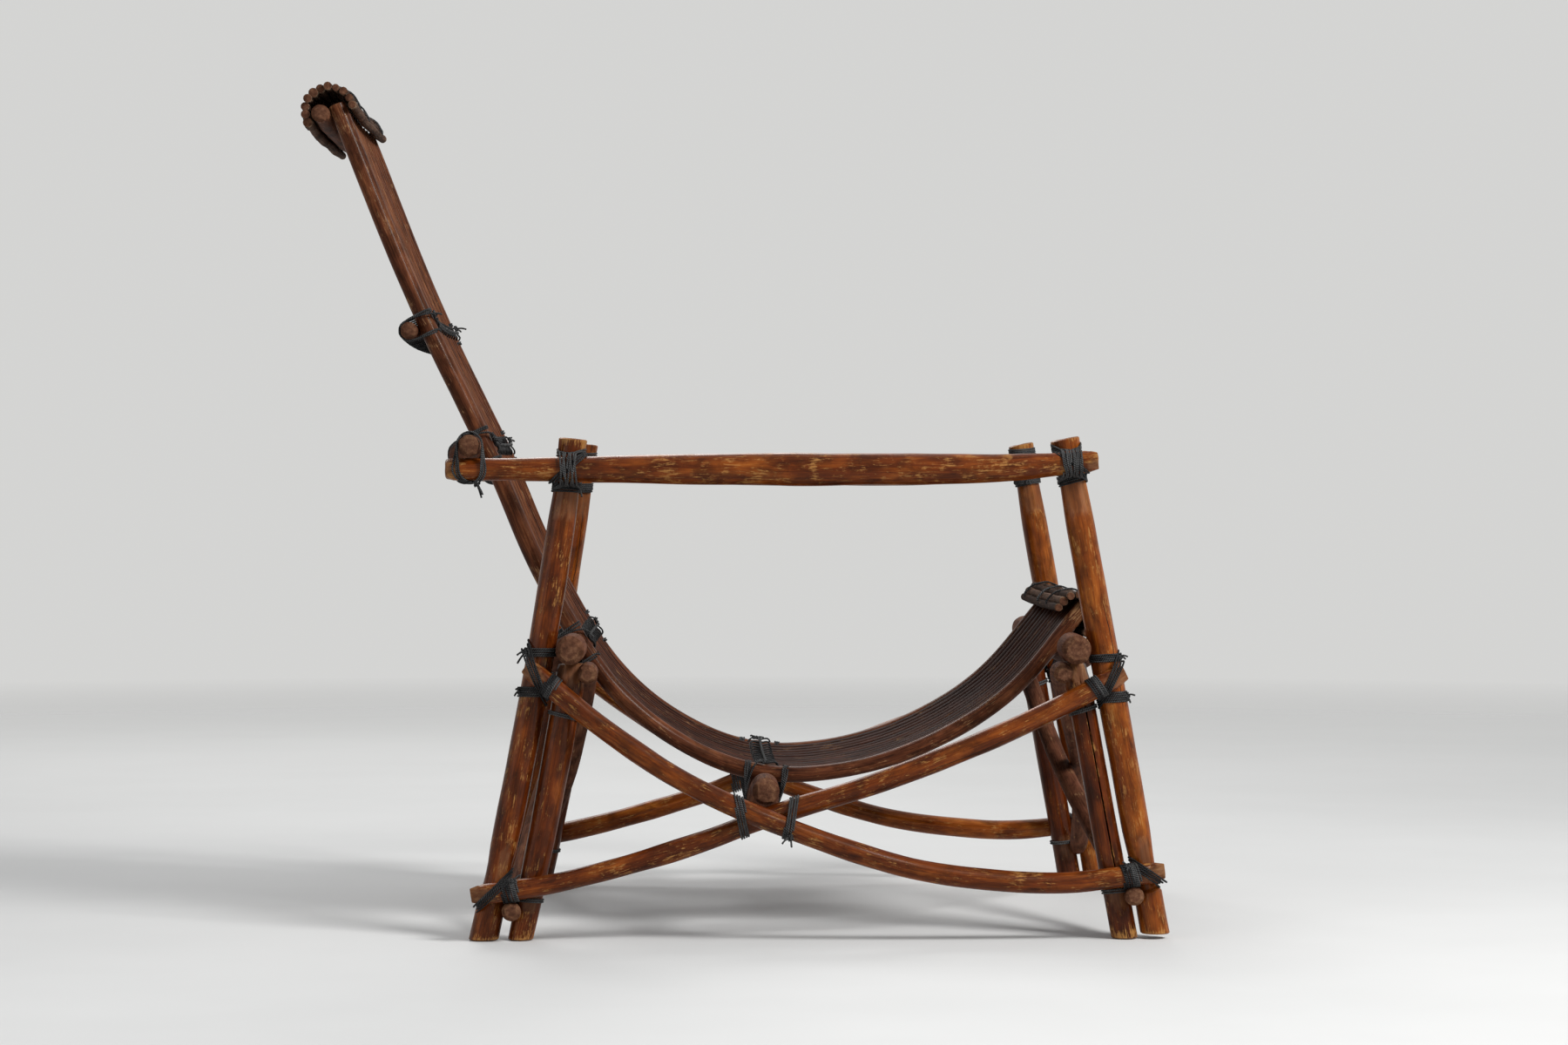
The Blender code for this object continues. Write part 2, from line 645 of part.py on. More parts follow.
def make_rolls(sling):
    station = sling.stations["head"]
    forward, backward = sling.along(station), sling.behind(station)
    between = 0.5 * (RAIL_RADIUS + BACK_BAR_RADIUS + TOUCH)
    clear = math.hypot(between + RAIL_RADIUS, HEAD_BAR_DROP) + TOUCH
    radius = clear / math.cos(HEAD_ROLL_REACH / (HEAD_STICKS - 1)) + STICK_RADIUS
    make_roll("head_roll", lambda y: sling.place(station) + backward * (between + dish(y)), forward, backward,
              roll_outline(HEAD_STICKS, radius, HEAD_ROLL_REACH))
    out, down = -sling.along(0.0), sling.behind(0.0)
    reach_in = math.sqrt((FRONT_ROLL_RADIUS - STICK_RADIUS - TOUCH) ** 2 - RAIL_RADIUS ** 2)
    make_roll("front_roll", lambda y: sling.place(0.0) - out * reach_in + down * dish(y), out, down,
              roll_outline(FRONT_STICKS, FRONT_ROLL_RADIUS, FRONT_ROLL_REACH))


# Cord

def least_gap(points, radius):
    """Least distance between the surfaces of two turns of one cord."""
    fine = smooth_points(points)
    along = lengths_along(fine)
    least = math.inf
    for i in range(len(fine)):
        other = np.abs(along - along[i]) > 6 * radius
        if other.any():
            least = min(least, float(np.linalg.norm(fine[other] - fine[i], axis=1).min()))
    return least - 2 * radius


def smooth_points(points):
    """Points every millimetre along straight runs."""
    line = np.array(points)
    along = lengths_along(line)
    return np.array([point_at(line, along, d) for d in np.arange(0, along[-1], 0.001)])


def cord(name, points):
    """A cord as one unbroken tube whose ends run straight on for a diameter."""
    first, last = np.array(points[0]), np.array(points[-1])
    lead = first - np.array(points[1])
    tail = last - np.array(points[-2])
    lead *= 2 * CORD_RADIUS / np.linalg.norm(lead)
    tail *= 2 * CORD_RADIUS / np.linalg.norm(tail)
    route = [first + lead, *points, last + tail]
    tube(name, route, [CORD_RADIUS] * len(route), finish_of(name, CORD_COLOUR, 0.8), CORD_RESOLUTION)
    print(name, "least gap to itself %.2f mm" % (1000 * least_gap(route, CORD_RADIUS)))


def loop_point(members, place, axis, way):
    """Where a taut loop in the plane square to the axis leaves its members in a direction."""
    best = None
    for point, run, radius in members:
        across = run.dot(axis)
        centre = point + run * ((place - point).dot(axis) / across)
        long_way = (run - axis * across)
        long_way = long_way.normalized() if long_way.length > 1e-6 else way.cross(axis).normalized()
        short_way = axis.cross(long_way)
        half_long, half_short = radius * LOOP_EASE / abs(across), radius * LOOP_EASE
        a, b = half_long * way.dot(long_way), half_short * way.dot(short_way)
        size = math.hypot(a, b)
        reach = (centre - place).dot(way) + size
        if best is None or reach > best[0]:
            touch = centre + (long_way * half_long * a + short_way * half_short * b) / size
            best = (reach, touch)
    return best[1] + way * (CORD_RADIUS + CORD_TOUCH)


def make_lashing(name, members, axis, turns):
    """Cord wound round crossing poles in planes square to an axis."""
    axis = axis.normalized()
    middle = sum((point for point, _, _ in members), Vector()) / len(members)
    first = axis.orthogonal().normalized()
    second = axis.cross(first)
    points = []
    for step in range(turns * LOOP_POINTS + 1):
        angle = 2 * math.pi * step / LOOP_POINTS
        shift = CORD_PITCH * (step / LOOP_POINTS - turns / 2)
        way = first * math.cos(angle) + second * math.sin(angle)
        points.append(loop_point(members, middle + axis * shift, axis, way))
    cord(name, points)


def leg_member(leg_x, radius, sign, z):
    low = Vector((leg_x(z - PROBE), sign * track(z - PROBE), z - PROBE))
    high = Vector((leg_x(z + PROBE), sign * track(z + PROBE), z + PROBE))
    return (low + high) / 2, (high - low).normalized(), radius


def stretcher_member(route, bows_out, sign, x):
    ends = []
    for place in (x - PROBE, x + PROBE):
        ends.append(Vector((place, sign * stretcher_y(route, place, bows_out), route_height(route, place))))
    return (ends[0] + ends[1]) / 2, (ends[1] - ends[0]).normalized(), STRETCHER_RADIUS


def arm_member(sign, x):
    ends = [Vector((place, sign * arm_y(place), arm_z(place))) for place in (x - PROBE, x + PROBE)]
    thickest = max(arm_radius(x - ARM_MIDDLE_RADIUS), arm_radius(x + ARM_MIDDLE_RADIUS))
    return (ends[0] + ends[1]) / 2, (ends[1] - ends[0]).normalized(), thickest


def make_frame_lashings(side, sign):
    falling, rising = (FALLING_STRETCHER, True), (RISING_STRETCHER, False)
    front, rear = (front_leg_x, FRONT_LEG_RADIUS), (rear_leg_x, REAR_LEG_RADIUS)
    rows = (("front_lower_lashing_", falling, front, 1), ("rear_lower_lashing_", rising, rear, -1),
            ("front_upper_lashing_", rising, front, -1), ("rear_upper_lashing_", falling, rear, 1))
    for name, (route, bows_out), (leg_x, radius), slant in rows:
        z = leg_crossing(route, leg_x)
        leg = leg_member(leg_x, radius, sign, z)
        stretcher = stretcher_member(route, bows_out, sign, leg_x(z))
        slope = stretcher[1] * slant + leg[1]
        make_lashing(name + side, (leg, stretcher), slope, LASHING_TURNS)
    for name, (leg_x, radius), slant in (("arm_front_lashing_", front, 1), ("arm_rear_lashing_", rear, -1)):
        z = arm_z(leg_x(ARM_HEIGHT))
        leg = leg_member(leg_x, radius, sign, z)
        arm = arm_member(sign, leg_x(z))
        make_lashing(name + side, (leg, arm), arm[1] * slant + leg[1], LASHING_TURNS)
    arm = arm_member(sign, ARM_BAR_X)
    bar_z = bar_ends()["rear_arm"][1]
    bar = (Vector((ARM_BAR_X, arm[0].y, bar_z)), Vector((0, sign, 0)), ARM_BAR_END_RADIUS)
    make_lashing("arm_bar_lashing_" + side, (arm, bar), arm[1] + bar[1], LASHING_TURNS)
    x = stretcher_crossing()[0] + LOW_BAR_RADIUS + (LASHING_TURNS / 2 + 1) * CORD_PITCH
    pair = (stretcher_member(*falling, sign, x), stretcher_member(*rising, sign, x))
    make_lashing("crossing_lashing_" + side, pair, Vector((1, 0, 0)), LASHING_TURNS)


def make_seizing(sling, name):
    """Cord that binds the rails and every slat to a crossbar, one turn for each."""
    station = sling.stations[name]
    up, back = sling.along(station), sling.behind(station)
    radius = BAR_RADII[name][0]
    reach = (radius + CORD_RADIUS + CORD_TOUCH) * SEIZING_EASE
    over_cord = CORD_RADIUS + CORD_TOUCH
    outside = HALF_RAIL_SPAN + RAIL_RADIUS + SLAT_GAP / 2
    gaps = [-outside, *[y - SLAT_PITCH / 2 for y in slat_ys()], slat_ys()[-1] + SLAT_PITCH / 2, outside]
    fronts = [-RAIL_RADIUS, *[slat_depth(y) - SLAT_THICKNESS / 2 for y in slat_ys()], -RAIL_RADIUS]
    steps = [sling.place(station + shift) - sling.place(station) for shift in (-reach, reach)]
    rise = max(-float(step @ back) for step in steps)
    points = []
    diagonal = math.sqrt(0.5)
    for last, this, front in zip(gaps, gaps[1:], fronts):
        level = front - rise - over_cord
        for y, along, away in ((last, 0, 1), (last, diagonal, diagonal), (last, 1, 0),
                               (last, SEIZING_SHOULDER, None), (this, -SEIZING_SHOULDER, None),
                               (this, -1, 0), (this, -diagonal, diagonal)):
            if away is None:
                place = sling.place(station) + up * along * reach + back * level
            else:
                place = bar_axis(sling, name, y) + (up * along + back * away) * reach
            points.append((place[0], y, place[1]))
    cord(name + "_seizing", points)


def centre_on_floor():
    """Put the middle of the chair's box over the origin."""
    bpy.context.view_layer.update()
    shown = bpy.context.evaluated_depsgraph_get()
    xs = []
    for thing in PARTS.objects:
        if thing.type == "EMPTY":
            continue
        whole = thing.evaluated_get(shown)
        xs += [(whole.matrix_world @ vertex.co).x for vertex in whole.to_mesh().vertices]
        whole.to_mesh_clear()
    CHAIR.location.x = -0.5 * (min(xs) + max(xs))


def build_chair():
    cutters = make_braces()
    for side, sign in SIDES.items():
        for leg in make_legs(side, sign):
            notch(leg, cutters[leg.name.split("_")[0]])
        make_armrest(side, sign)
        make_stretchers(side, sign)
        make_frame_lashings(side, sign)
    places = dict(bar_ends(), back_middle=back_bar_place())
    sling = Sling(places)
    make_crossbars(sling)
    make_rails(sling)
    make_slats(sling)
    make_rolls(sling)
    for name in ("back_middle", "rear_arm", "rear_seat", "low_middle"):
        make_seizing(sling, name)
    centre_on_floor()


clear_scene()
PARTS = new_collection("wicker_reclining_chair")
CUTTERS = new_collection("cutters")
CHAIR = bpy.data.objects.new("chair_frame", None)
PARTS.objects.link(CHAIR)
build_chair()
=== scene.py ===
"""Looks of the pole lounge chair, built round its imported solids."""

import functools
import math
import random

import bpy
import numpy as np
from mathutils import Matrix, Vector, noise


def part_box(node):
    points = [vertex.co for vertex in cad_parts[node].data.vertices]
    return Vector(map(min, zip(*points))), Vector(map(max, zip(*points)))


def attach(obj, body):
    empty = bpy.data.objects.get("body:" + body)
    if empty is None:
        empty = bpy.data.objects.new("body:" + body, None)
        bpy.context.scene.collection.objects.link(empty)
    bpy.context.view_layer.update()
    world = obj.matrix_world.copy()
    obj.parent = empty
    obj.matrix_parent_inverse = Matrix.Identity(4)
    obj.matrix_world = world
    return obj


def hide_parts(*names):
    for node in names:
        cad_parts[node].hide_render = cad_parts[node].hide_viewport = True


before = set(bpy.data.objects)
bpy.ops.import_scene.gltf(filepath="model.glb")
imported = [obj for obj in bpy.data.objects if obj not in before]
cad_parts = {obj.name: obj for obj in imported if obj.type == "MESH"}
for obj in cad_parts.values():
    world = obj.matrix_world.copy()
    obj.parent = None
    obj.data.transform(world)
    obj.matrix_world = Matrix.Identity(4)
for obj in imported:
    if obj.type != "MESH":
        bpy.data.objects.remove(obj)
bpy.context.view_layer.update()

# Sizes of the solids, in metres
TOUCH = 0.0003
ARM_HEIGHT = 0.538
LEG_HEIGHT = 0.572
FRONT_FOOT_X, FRONT_TOP_X = 0.419, 0.316
REAR_FOOT_X, REAR_TOP_X, REAR_LEG_BOW = -0.352, -0.250, 0.007
FRONT_LEG_LIFT = 0.005
FRONT_LEG_RADIUS, REAR_LEG_RADIUS = 0.0165, 0.0162
HALF_TRACK_TOP, HALF_TRACK_FLOOR = 0.2925, 0.315
FRONT_POST_RADIUS = 0.0150
REAR_POST_TOP_RADIUS, REAR_POST_FOOT_RADIUS = 0.0175, 0.0145
POST_GAP, REAR_POST_SPREAD = 0.0046, 0.007
ARM_FRONT_RISE, ARM_RISE_X = 0.010, 0.150
ARM_REAR_X, ARM_FRONT_X = -0.394, 0.353
SEAT_BAR_HEIGHT = 0.332
STRETCHER_RADIUS = 0.0120
FALLING_SHARES = ((-0.302, 0.943), (-0.207, 0.717), (-0.127, 0.560), (-0.032, 0.428), (0.130, 0.259),
                  (0.245, 0.208), (0.318, 0.202), (0.425, 0.238))
RISING_SHARES = ((-0.364, 0.160), (-0.266, 0.205), (-0.107, 0.337), (-0.032, 0.422), (0.110, 0.557),
                 (0.270, 0.750), (0.381, 0.919))
FRONT_EDGE_SETBACK, FRONT_EDGE_RISE = 0.013, 0.046
SEAT_SHARES = ((0.254, 0.822), (0.142, 0.627), (0.035, 0.551), (-0.043, 0.560), (-0.122, 0.654),
               (-0.202, 0.843))
BACK_RISES = ((-0.280, 0.068), (-0.351, 0.227), (-0.437, 0.408), (-0.5265, 0.631))
HALF_RAIL_SPAN, RAIL_RADIUS = 0.215, 0.0103
SLAT_COUNT, SLAT_GAP, SLAT_THICKNESS = 11, 0.0054, 0.0185
DISH, DISH_STEPS = 0.003, 4
SEAT_BAR_RADIUS, SEAT_BAR_END_RADIUS = 0.0185, 0.0165
ARM_BAR_X, ARM_BAR_RADIUS, ARM_BAR_END_RADIUS = -0.367, 0.0165, 0.0130
LOW_BAR_RADIUS, LOW_BAR_END_RADIUS = 0.0185, 0.0155
BACK_BAR_RADIUS, BACK_BAR_HEIGHT, HEAD_BAR_DROP = 0.0105, 0.705, 0.004
HALF_BAR_LENGTH, HALF_BACK_BAR_LENGTH = 0.350, 0.242
BAR_PAST_RAIL, BAR_BEFORE_LEG = 0.009, 0.004
BRACE_RADIUS, BRACE_LET_IN, BRACE_LEVEL_RUN, BRACE_FOOT_HEIGHT = 0.0112, 0.009, 0.055, 0.055
HALF_BRACE_TOP_SPAN, HALF_BRACE_FOOT_SPAN = 0.338, 0.350
STICK_RADIUS = 0.0052
HEAD_STICKS, HEAD_ROLL_REACH = 9, math.radians(98)
FRONT_STICKS, FRONT_ROLL_RADIUS, FRONT_ROLL_REACH = 10, 0.0235, math.radians(106)
HALF_ROLL_LENGTH = 0.229
CORD_RADIUS = 0.00115
SLAT_WIDTH = (2 * (HALF_RAIL_SPAN - RAIL_RADIUS) - (SLAT_COUNT + 1) * SLAT_GAP) / SLAT_COUNT
SLAT_PITCH = SLAT_WIDTH + SLAT_GAP
SIDES = {"near": -1, "far": 1}

# The side view is drawn from the photograph's middle; the solids stand centred over the origin
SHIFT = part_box("armrest_near")[0].x - ARM_REAR_X
SHIFT_VECTOR = np.array([SHIFT, 0.0, 0.0])

FINE_STEPS, ROOT_STEPS, CROSSING_SAMPLES = 24, 40, 801
PROBE = 0.006
X_AXIS, Y_AXIS, Z_AXIS = np.eye(3)


# Lines of the frame, as in the solids

def blend(a, b, start, end, t):
    return a + (b - a) * (t - start) / (end - start)


def smooth_through(points, steps):
    """Points of a centripetal Catmull-Rom curve through the given ones."""
    given = [np.array(point, float) for point in points]
    line = [2 * given[0] - given[1], *given, 2 * given[-1] - given[-2]]
    knots = np.cumsum([0.0] + [math.sqrt(max(np.linalg.norm(b - a), 1e-9)) for a, b in zip(line, line[1:])])
    found = []
    for i in range(1, len(line) - 2):
        for t in np.linspace(knots[i], knots[i + 1], steps, endpoint=False):
            row = line[i - 1:i + 3]
            for reach in (1, 2):
                row = [blend(row[j], row[j + 1], knots[i - 1 + j], knots[i - 1 + j + reach], t)
                       for j in range(len(row) - 1)]
            found.append(blend(row[0], row[1], knots[i], knots[i + 1], t))
    found.append(given[-1])
    return np.array(found)


def lengths_along(points):
    return np.concatenate([[0.0], np.cumsum(np.linalg.norm(np.diff(points, axis=0), axis=1))])


def even(points, spacing):
    """The same line with points an even distance apart."""
    points = np.asarray(points, float)
    along = lengths_along(points)
    stops = np.linspace(0, along[-1], max(2, int(round(along[-1] / spacing)) + 1))
    return np.column_stack([np.interp(stops, along, column) for column in points.T])


def unit(vector):
    vector = np.asarray(vector, float)
    return vector / np.linalg.norm(vector)


def track(z):
    return HALF_TRACK_FLOOR + (HALF_TRACK_TOP - HALF_TRACK_FLOOR) * z / LEG_HEIGHT


def front_leg_x(z):
    return FRONT_FOOT_X + (FRONT_TOP_X - FRONT_FOOT_X) * z / LEG_HEIGHT


def rear_leg_x(z):
    share = z / LEG_HEIGHT
    return REAR_FOOT_X + (REAR_TOP_X - REAR_FOOT_X) * share + REAR_LEG_BOW * 4 * share * (1 - share)


def rear_post_radius(z):
    return REAR_POST_FOOT_RADIUS + (REAR_POST_TOP_RADIUS - REAR_POST_FOOT_RADIUS) * z / SEAT_BAR_HEIGHT


def front_post_x(z):
    return front_leg_x(z) - FRONT_LEG_RADIUS - FRONT_POST_RADIUS - POST_GAP


def rear_post_x(z):
    spread = REAR_POST_SPREAD * (1 - z / SEAT_BAR_HEIGHT)
    return rear_leg_x(z) + REAR_LEG_RADIUS + rear_post_radius(z) + POST_GAP + spread


def lean(leg_x, z):
    return math.hypot(1.0, (leg_x(z + PROBE) - leg_x(z - PROBE)) / (2 * PROBE))


FALLING = tuple((x, share * SEAT_BAR_HEIGHT) for x, share in FALLING_SHARES)
RISING = tuple((x, share * SEAT_BAR_HEIGHT) for x, share in RISING_SHARES)
SLING = ((front_leg_x(SEAT_BAR_HEIGHT) - FRONT_EDGE_SETBACK, SEAT_BAR_HEIGHT + FRONT_EDGE_RISE),
         *((x, share * SEAT_BAR_HEIGHT) for x, share in SEAT_SHARES),
         *((x, SEAT_BAR_HEIGHT + rise) for x, rise in BACK_RISES))


@functools.lru_cache(maxsize=None)
def route_line(route):
    return smooth_through(route, FINE_STEPS)


def route_height(route, x):
    line = route_line(route)
    return float(np.interp(x, line[:, 0], line[:, 1]))


def route_slope(route, x):
    return (route_height(route, x + PROBE) - route_height(route, x - PROBE)) / (2 * PROBE)


def leg_crossing(route, leg_x):
    z = SEAT_BAR_HEIGHT / 2
    for _ in range(ROOT_STEPS):
        z = route_height(route, leg_x(z))
    return z


@functools.lru_cache(maxsize=None)
def stretcher_crossing():
    xs = np.linspace(rear_leg_x(0) / 2, front_leg_x(0) / 2, CROSSING_SAMPLES)
    apart = [abs(route_height(FALLING, x) - route_height(RISING, x)) for x in xs]
    x = float(xs[int(np.argmin(apart))])
    return x, route_height(FALLING, x)


def stretcher_y(route, x):
    """Distance of a stretcher's axis from the plane y = 0; the falling one bows out over the other."""
    share = np.clip((x - REAR_FOOT_X) / (FRONT_FOOT_X - REAR_FOOT_X), 0, 1)
    rear = max(REAR_LEG_RADIUS, REAR_POST_TOP_RADIUS)
    front = max(FRONT_LEG_RADIUS, FRONT_POST_RADIUS)
    base = track(route_height(route, x)) + rear + (front - rear) * share + STRETCHER_RADIUS + TOUCH
    if route is RISING:
        return base
    middle = stretcher_crossing()[0]
    reach = middle - REAR_FOOT_X if x < middle else FRONT_FOOT_X - middle
    away = min(1.0, abs(x - middle) / reach)
    return base + (2 * STRETCHER_RADIUS + TOUCH) * math.cos(0.5 * math.pi * away) ** 2


def arm_z(x):
    return ARM_HEIGHT + ARM_FRONT_RISE * max(0.0, (x - ARM_RISE_X) / (ARM_FRONT_X - ARM_RISE_X)) ** 2


ARM_STOPS = (ARM_REAR_X, -0.300, -0.260, -0.200, -0.100, 0.000, 0.140, 0.200, 0.265, 0.320, ARM_FRONT_X)
ARM_RADII = (0.0130, 0.0138, 0.0150, 0.0156, 0.0172, 0.0187, 0.0184, 0.0172, 0.0152, 0.0120, 0.0134)


def arm_radius(x):
    return np.interp(x, ARM_STOPS, ARM_RADII)


def arm_y(x):
    rear, front = rear_leg_x(ARM_HEIGHT), front_leg_x(ARM_HEIGHT)
    at_rear = track(arm_z(rear)) + REAR_LEG_RADIUS + float(arm_radius(rear)) + TOUCH
    at_front = track(arm_z(front)) + FRONT_LEG_RADIUS + float(arm_radius(front)) + TOUCH
    return at_rear + (at_front - at_rear) * (x - rear) / (front - rear)


def dish(y):
    """How far the crossbars bend back behind the rails."""
    share = np.clip(np.abs(y) / HALF_RAIL_SPAN, 0, 1)
    return DISH * (1 - share ** 2)


class Sling:
    """The rails' axis in the side view, measured from the front edge to the head."""

    def __init__(self):
        self.line = smooth_through(SLING, FINE_STEPS)
        self.lengths = lengths_along(self.line)
        self.length = float(self.lengths[-1])
        back = self.line[(self.line[:, 0] < 0) & (self.line[:, 1] > SEAT_BAR_HEIGHT)]
        middle = back[int(np.argmin(np.abs(back[:, 1] - BACK_BAR_HEIGHT)))]
        places = dict(bar_ends(), back_middle=middle)
        self.stations = {"head": self.length - HEAD_BAR_DROP}
        for name, place in places.items():
            nearest = int(np.argmin(np.linalg.norm(self.line - np.array(place), axis=1)))
            self.stations[name] = float(self.lengths[nearest])

    def place(self, distance):
        return np.array([np.interp(distance, self.lengths, column) for column in self.line.T])

    def along(self, distance):
        low, high = max(distance - PROBE, 0.0), min(distance + PROBE, self.length)
        return unit(self.place(high) - self.place(low))

    def behind(self, distance):
        run = self.along(distance)
        return np.array([-run[1], run[0]])


def bar_ends():
    lean_rear = lean(rear_leg_x, SEAT_BAR_HEIGHT)
    lean_front = lean(front_leg_x, SEAT_BAR_HEIGHT)
    rear_x = rear_leg_x(SEAT_BAR_HEIGHT) + (REAR_LEG_RADIUS + SEAT_BAR_END_RADIUS + TOUCH) * lean_rear
    front_x = front_leg_x(SEAT_BAR_HEIGHT) - (FRONT_LEG_RADIUS + SEAT_BAR_END_RADIUS + TOUCH) * lean_front
    arm_bar_z = arm_z(ARM_BAR_X) + float(arm_radius(ARM_BAR_X)) + ARM_BAR_END_RADIUS + TOUCH
    cross_x, cross_z = stretcher_crossing()
    steep = max(abs(route_slope(FALLING, cross_x)), abs(route_slope(RISING, cross_x)))
    low_z = cross_z + (STRETCHER_RADIUS + LOW_BAR_END_RADIUS + TOUCH) * math.hypot(1.0, steep)
    return {"rear_seat": (rear_x, SEAT_BAR_HEIGHT), "front_seat": (front_x, SEAT_BAR_HEIGHT),
            "rear_arm": (ARM_BAR_X, arm_bar_z), "low_middle": (cross_x, low_z)}


BAR_RADII = {"rear_seat": (SEAT_BAR_RADIUS, SEAT_BAR_END_RADIUS),
             "front_seat": (SEAT_BAR_RADIUS, SEAT_BAR_END_RADIUS),
             "rear_arm": (ARM_BAR_RADIUS, ARM_BAR_END_RADIUS),
             "low_middle": (LOW_BAR_RADIUS, LOW_BAR_END_RADIUS),
             "back_middle": (BACK_BAR_RADIUS, BACK_BAR_RADIUS),
             "head": (BACK_BAR_RADIUS, BACK_BAR_RADIUS)}


def bar_axis(sling, name, y):
    station = sling.stations[name]
    depth = RAIL_RADIUS + BAR_RADII[name][0] + TOUCH + dish(y)
    return sling.place(station) + sling.behind(station) * depth


# Materials

class Nodes:
    """Short ways to add and join the nodes of a material or a world."""

    def __init__(self, owner):
        owner.use_nodes = True
        self.owner, self.tree = owner, owner.node_tree

    def add(self, kind, settings=None, **inputs):
        node = self.tree.nodes.new("ShaderNode" + kind)
        for key, value in (settings or {}).items():
            setattr(node, key, value)
        for key, value in inputs.items():
            self.feed(node.inputs[key], value)
        return node

    def feed(self, socket, value):
        if isinstance(value, bpy.types.NodeSocket):
            self.tree.links.new(value, socket)
        else:
            socket.default_value = value

    def fill(self, node, *values):
        for socket, value in zip(node.inputs, values):
            self.feed(socket, value)
        return node.outputs[0]

    def shade(self, **inputs):
        shader = self.tree.nodes["Principled BSDF"]
        for key, value in inputs.items():
            self.feed(shader.inputs[key.replace("_", " ")], value)
        return shader.outputs[0]

    def attribute(self, name, output="Fac"):
        return self.add("Attribute", {"attribute_name": name}).outputs[output]

    def math(self, operation, a, b=0.0, clamp=False):
        return self.fill(self.add("Math", {"operation": operation, "use_clamp": clamp}), a, b)

    def total(self, *shares):
        """The sum of (value, weight) pairs."""
        parts = [self.math("MULTIPLY", value, weight) for value, weight in shares]
        return functools.reduce(lambda a, b: self.math("ADD", a, b), parts)

    def noise(self, vector, stretch, scale, detail, roughness, distortion=0.0):
        stretched = self.fill(self.add("VectorMath", {"operation": "MULTIPLY"}), vector, stretch)
        node = self.add("TexNoise", Vector=stretched, Scale=scale, Detail=detail, Roughness=roughness,
                        Distortion=distortion)
        return node.outputs["Fac"]

    def ramp(self, factor, places, colours):
        """A colour ramp; a colour may be a single grey."""
        node = self.add("ValToRGB", Fac=factor)
        line = node.color_ramp.elements
        while len(line) < len(places):
            line.new(0.5)
        for element, place, colour in zip(line, places, colours):
            element.position = place
            element.color = (*colour, 1.0) if isinstance(colour, tuple) else (colour, colour, colour, 1.0)
        return node.outputs["Color"]

    def mix(self, factor, a, b, blend_type="MIX"):
        node = self.add("Mix", {"data_type": "RGBA", "blend_type": blend_type})
        for index, value in ((0, factor), (6, a), (7, b)):
            self.feed(node.inputs[index], (*value, 1.0) if isinstance(value, tuple) else value)
        return node.outputs[2]

    def bump(self, height, strength, distance, normal=None):
        node = self.add("Bump", Height=height, Strength=strength, Distance=distance)
        if normal is not None:
            self.feed(node.inputs["Normal"], normal)
        return node.outputs["Normal"]


# Noises: stretch in and along the grain, scale, detail, roughness, distortion
FINE_GRAIN = ((1, 1, 0.035), 620.0, 4.0, 0.60, 0.3)
BROAD_GRAIN = ((1, 1, 0.11), 105.0, 4.0, 0.60, 0.5)
CLOUDS = ((1, 1, 0.60), 26.0, 3.0, 0.55, 0.4)
PORES = ((1, 1, 0.022), 1500.0, 2.0, 0.50)
MOTTLE = ((1, 1, 0.42), 66.0, 4.0, 0.66, 0.7)
SCRATCHES = ((1, 1, 0.11), 500.0, 6.0, 0.72, 0.8)
SPOTS = ((1, 1, 1), 48.0, 4.0, 0.65)
END_WOBBLE = ((1, 1, 0.02), 190.0, 3.0, 0.55)
END_RAYS = ((1, 1, 1), 3.4, 4.0, 0.70)
DENTS = ((1, 1, 0.45), 95.0, 3.0, 0.60)
CRACK_WANDER = ((1, 1, 1), 9.0, 4.0, 0.60)
CRACK_STRETCHES = ((1, 1, 1), 3.1, 1.0, 0.40)
FIBRES = ((320, 320, 900), 1.0, 3.0, 0.70)
DUST = ((0, 0, 1), 38.0, 3.0, 0.60)
# Ramps: places and their greys
PORE_RAMP = ((0.30, 0.42), (0.32, 1.0))
MOTTLE_RAMP = ((0.36, 0.58), (0.22, 1.0))
SCUFF_RAMP = ((0.600, 0.655), (0.0, 1.0))
RAY_RAMP = ((0.31, 0.36), (0.90, 0.0))
CRACK_RAMP = ((0.020, 0.050), (1.0, 0.0))
CRACK_STRETCH_RAMP = ((0.56, 0.60), (0.0, 1.0))
TONE_PLACES = (0.22, 0.40, 0.50, 0.61, 0.78)
CUT_PLACES, TWINE_PLACES = (0.25, 0.52, 0.80), (0.36, 0.60, 0.82)
# How much each noise counts
FINE_SHARE, BROAD_SHARE, CLOUD_SHARE = 0.34, 0.38, 0.62
PORE_DEPTH, MOTTLE_DEPTH, SCUFF_DEPTH = 0.55, 0.66, 0.75
SCRATCH_SHARE, SPOT_SHARE, WEAR_SHARE = 0.62, 0.42, 0.09
CRACK_ANGLE, CRACK_SWING = 0.15, 0.9
CRACK_COLOUR, RAY_COLOUR = (0.012, 0.006, 0.004), (0.018, 0.010, 0.007)
RING_RATE, RING_WOBBLE, RING_DEPTH, RAY_RATE = 3400.0, 9.0, 0.022, 2.2
CLOUD_ROUGHNESS, SCUFF_ROUGHNESS = 0.22, 0.28
COAT_ROUGHNESS, COAT_TINT = 0.16, (1.0, 0.62, 0.36, 1.0)
PLIES, PLY_RATE = 2.0, 2500.0
PLY_PAINTED_LIGHT_SHARE, FIBRE_SHARE, DUST_SHARE, DARK_SHARE = 0.13, 0.42, 0.60, 0.72
# Bumps: strength and distance
DENT_BUMP, GRAIN_BUMP = (0.35, 0.0020), (0.28, 0.0006)
SCUFF_BUMP, TWINE_BUMP = (0.35, 0.0005), (0.7, 0.0006)


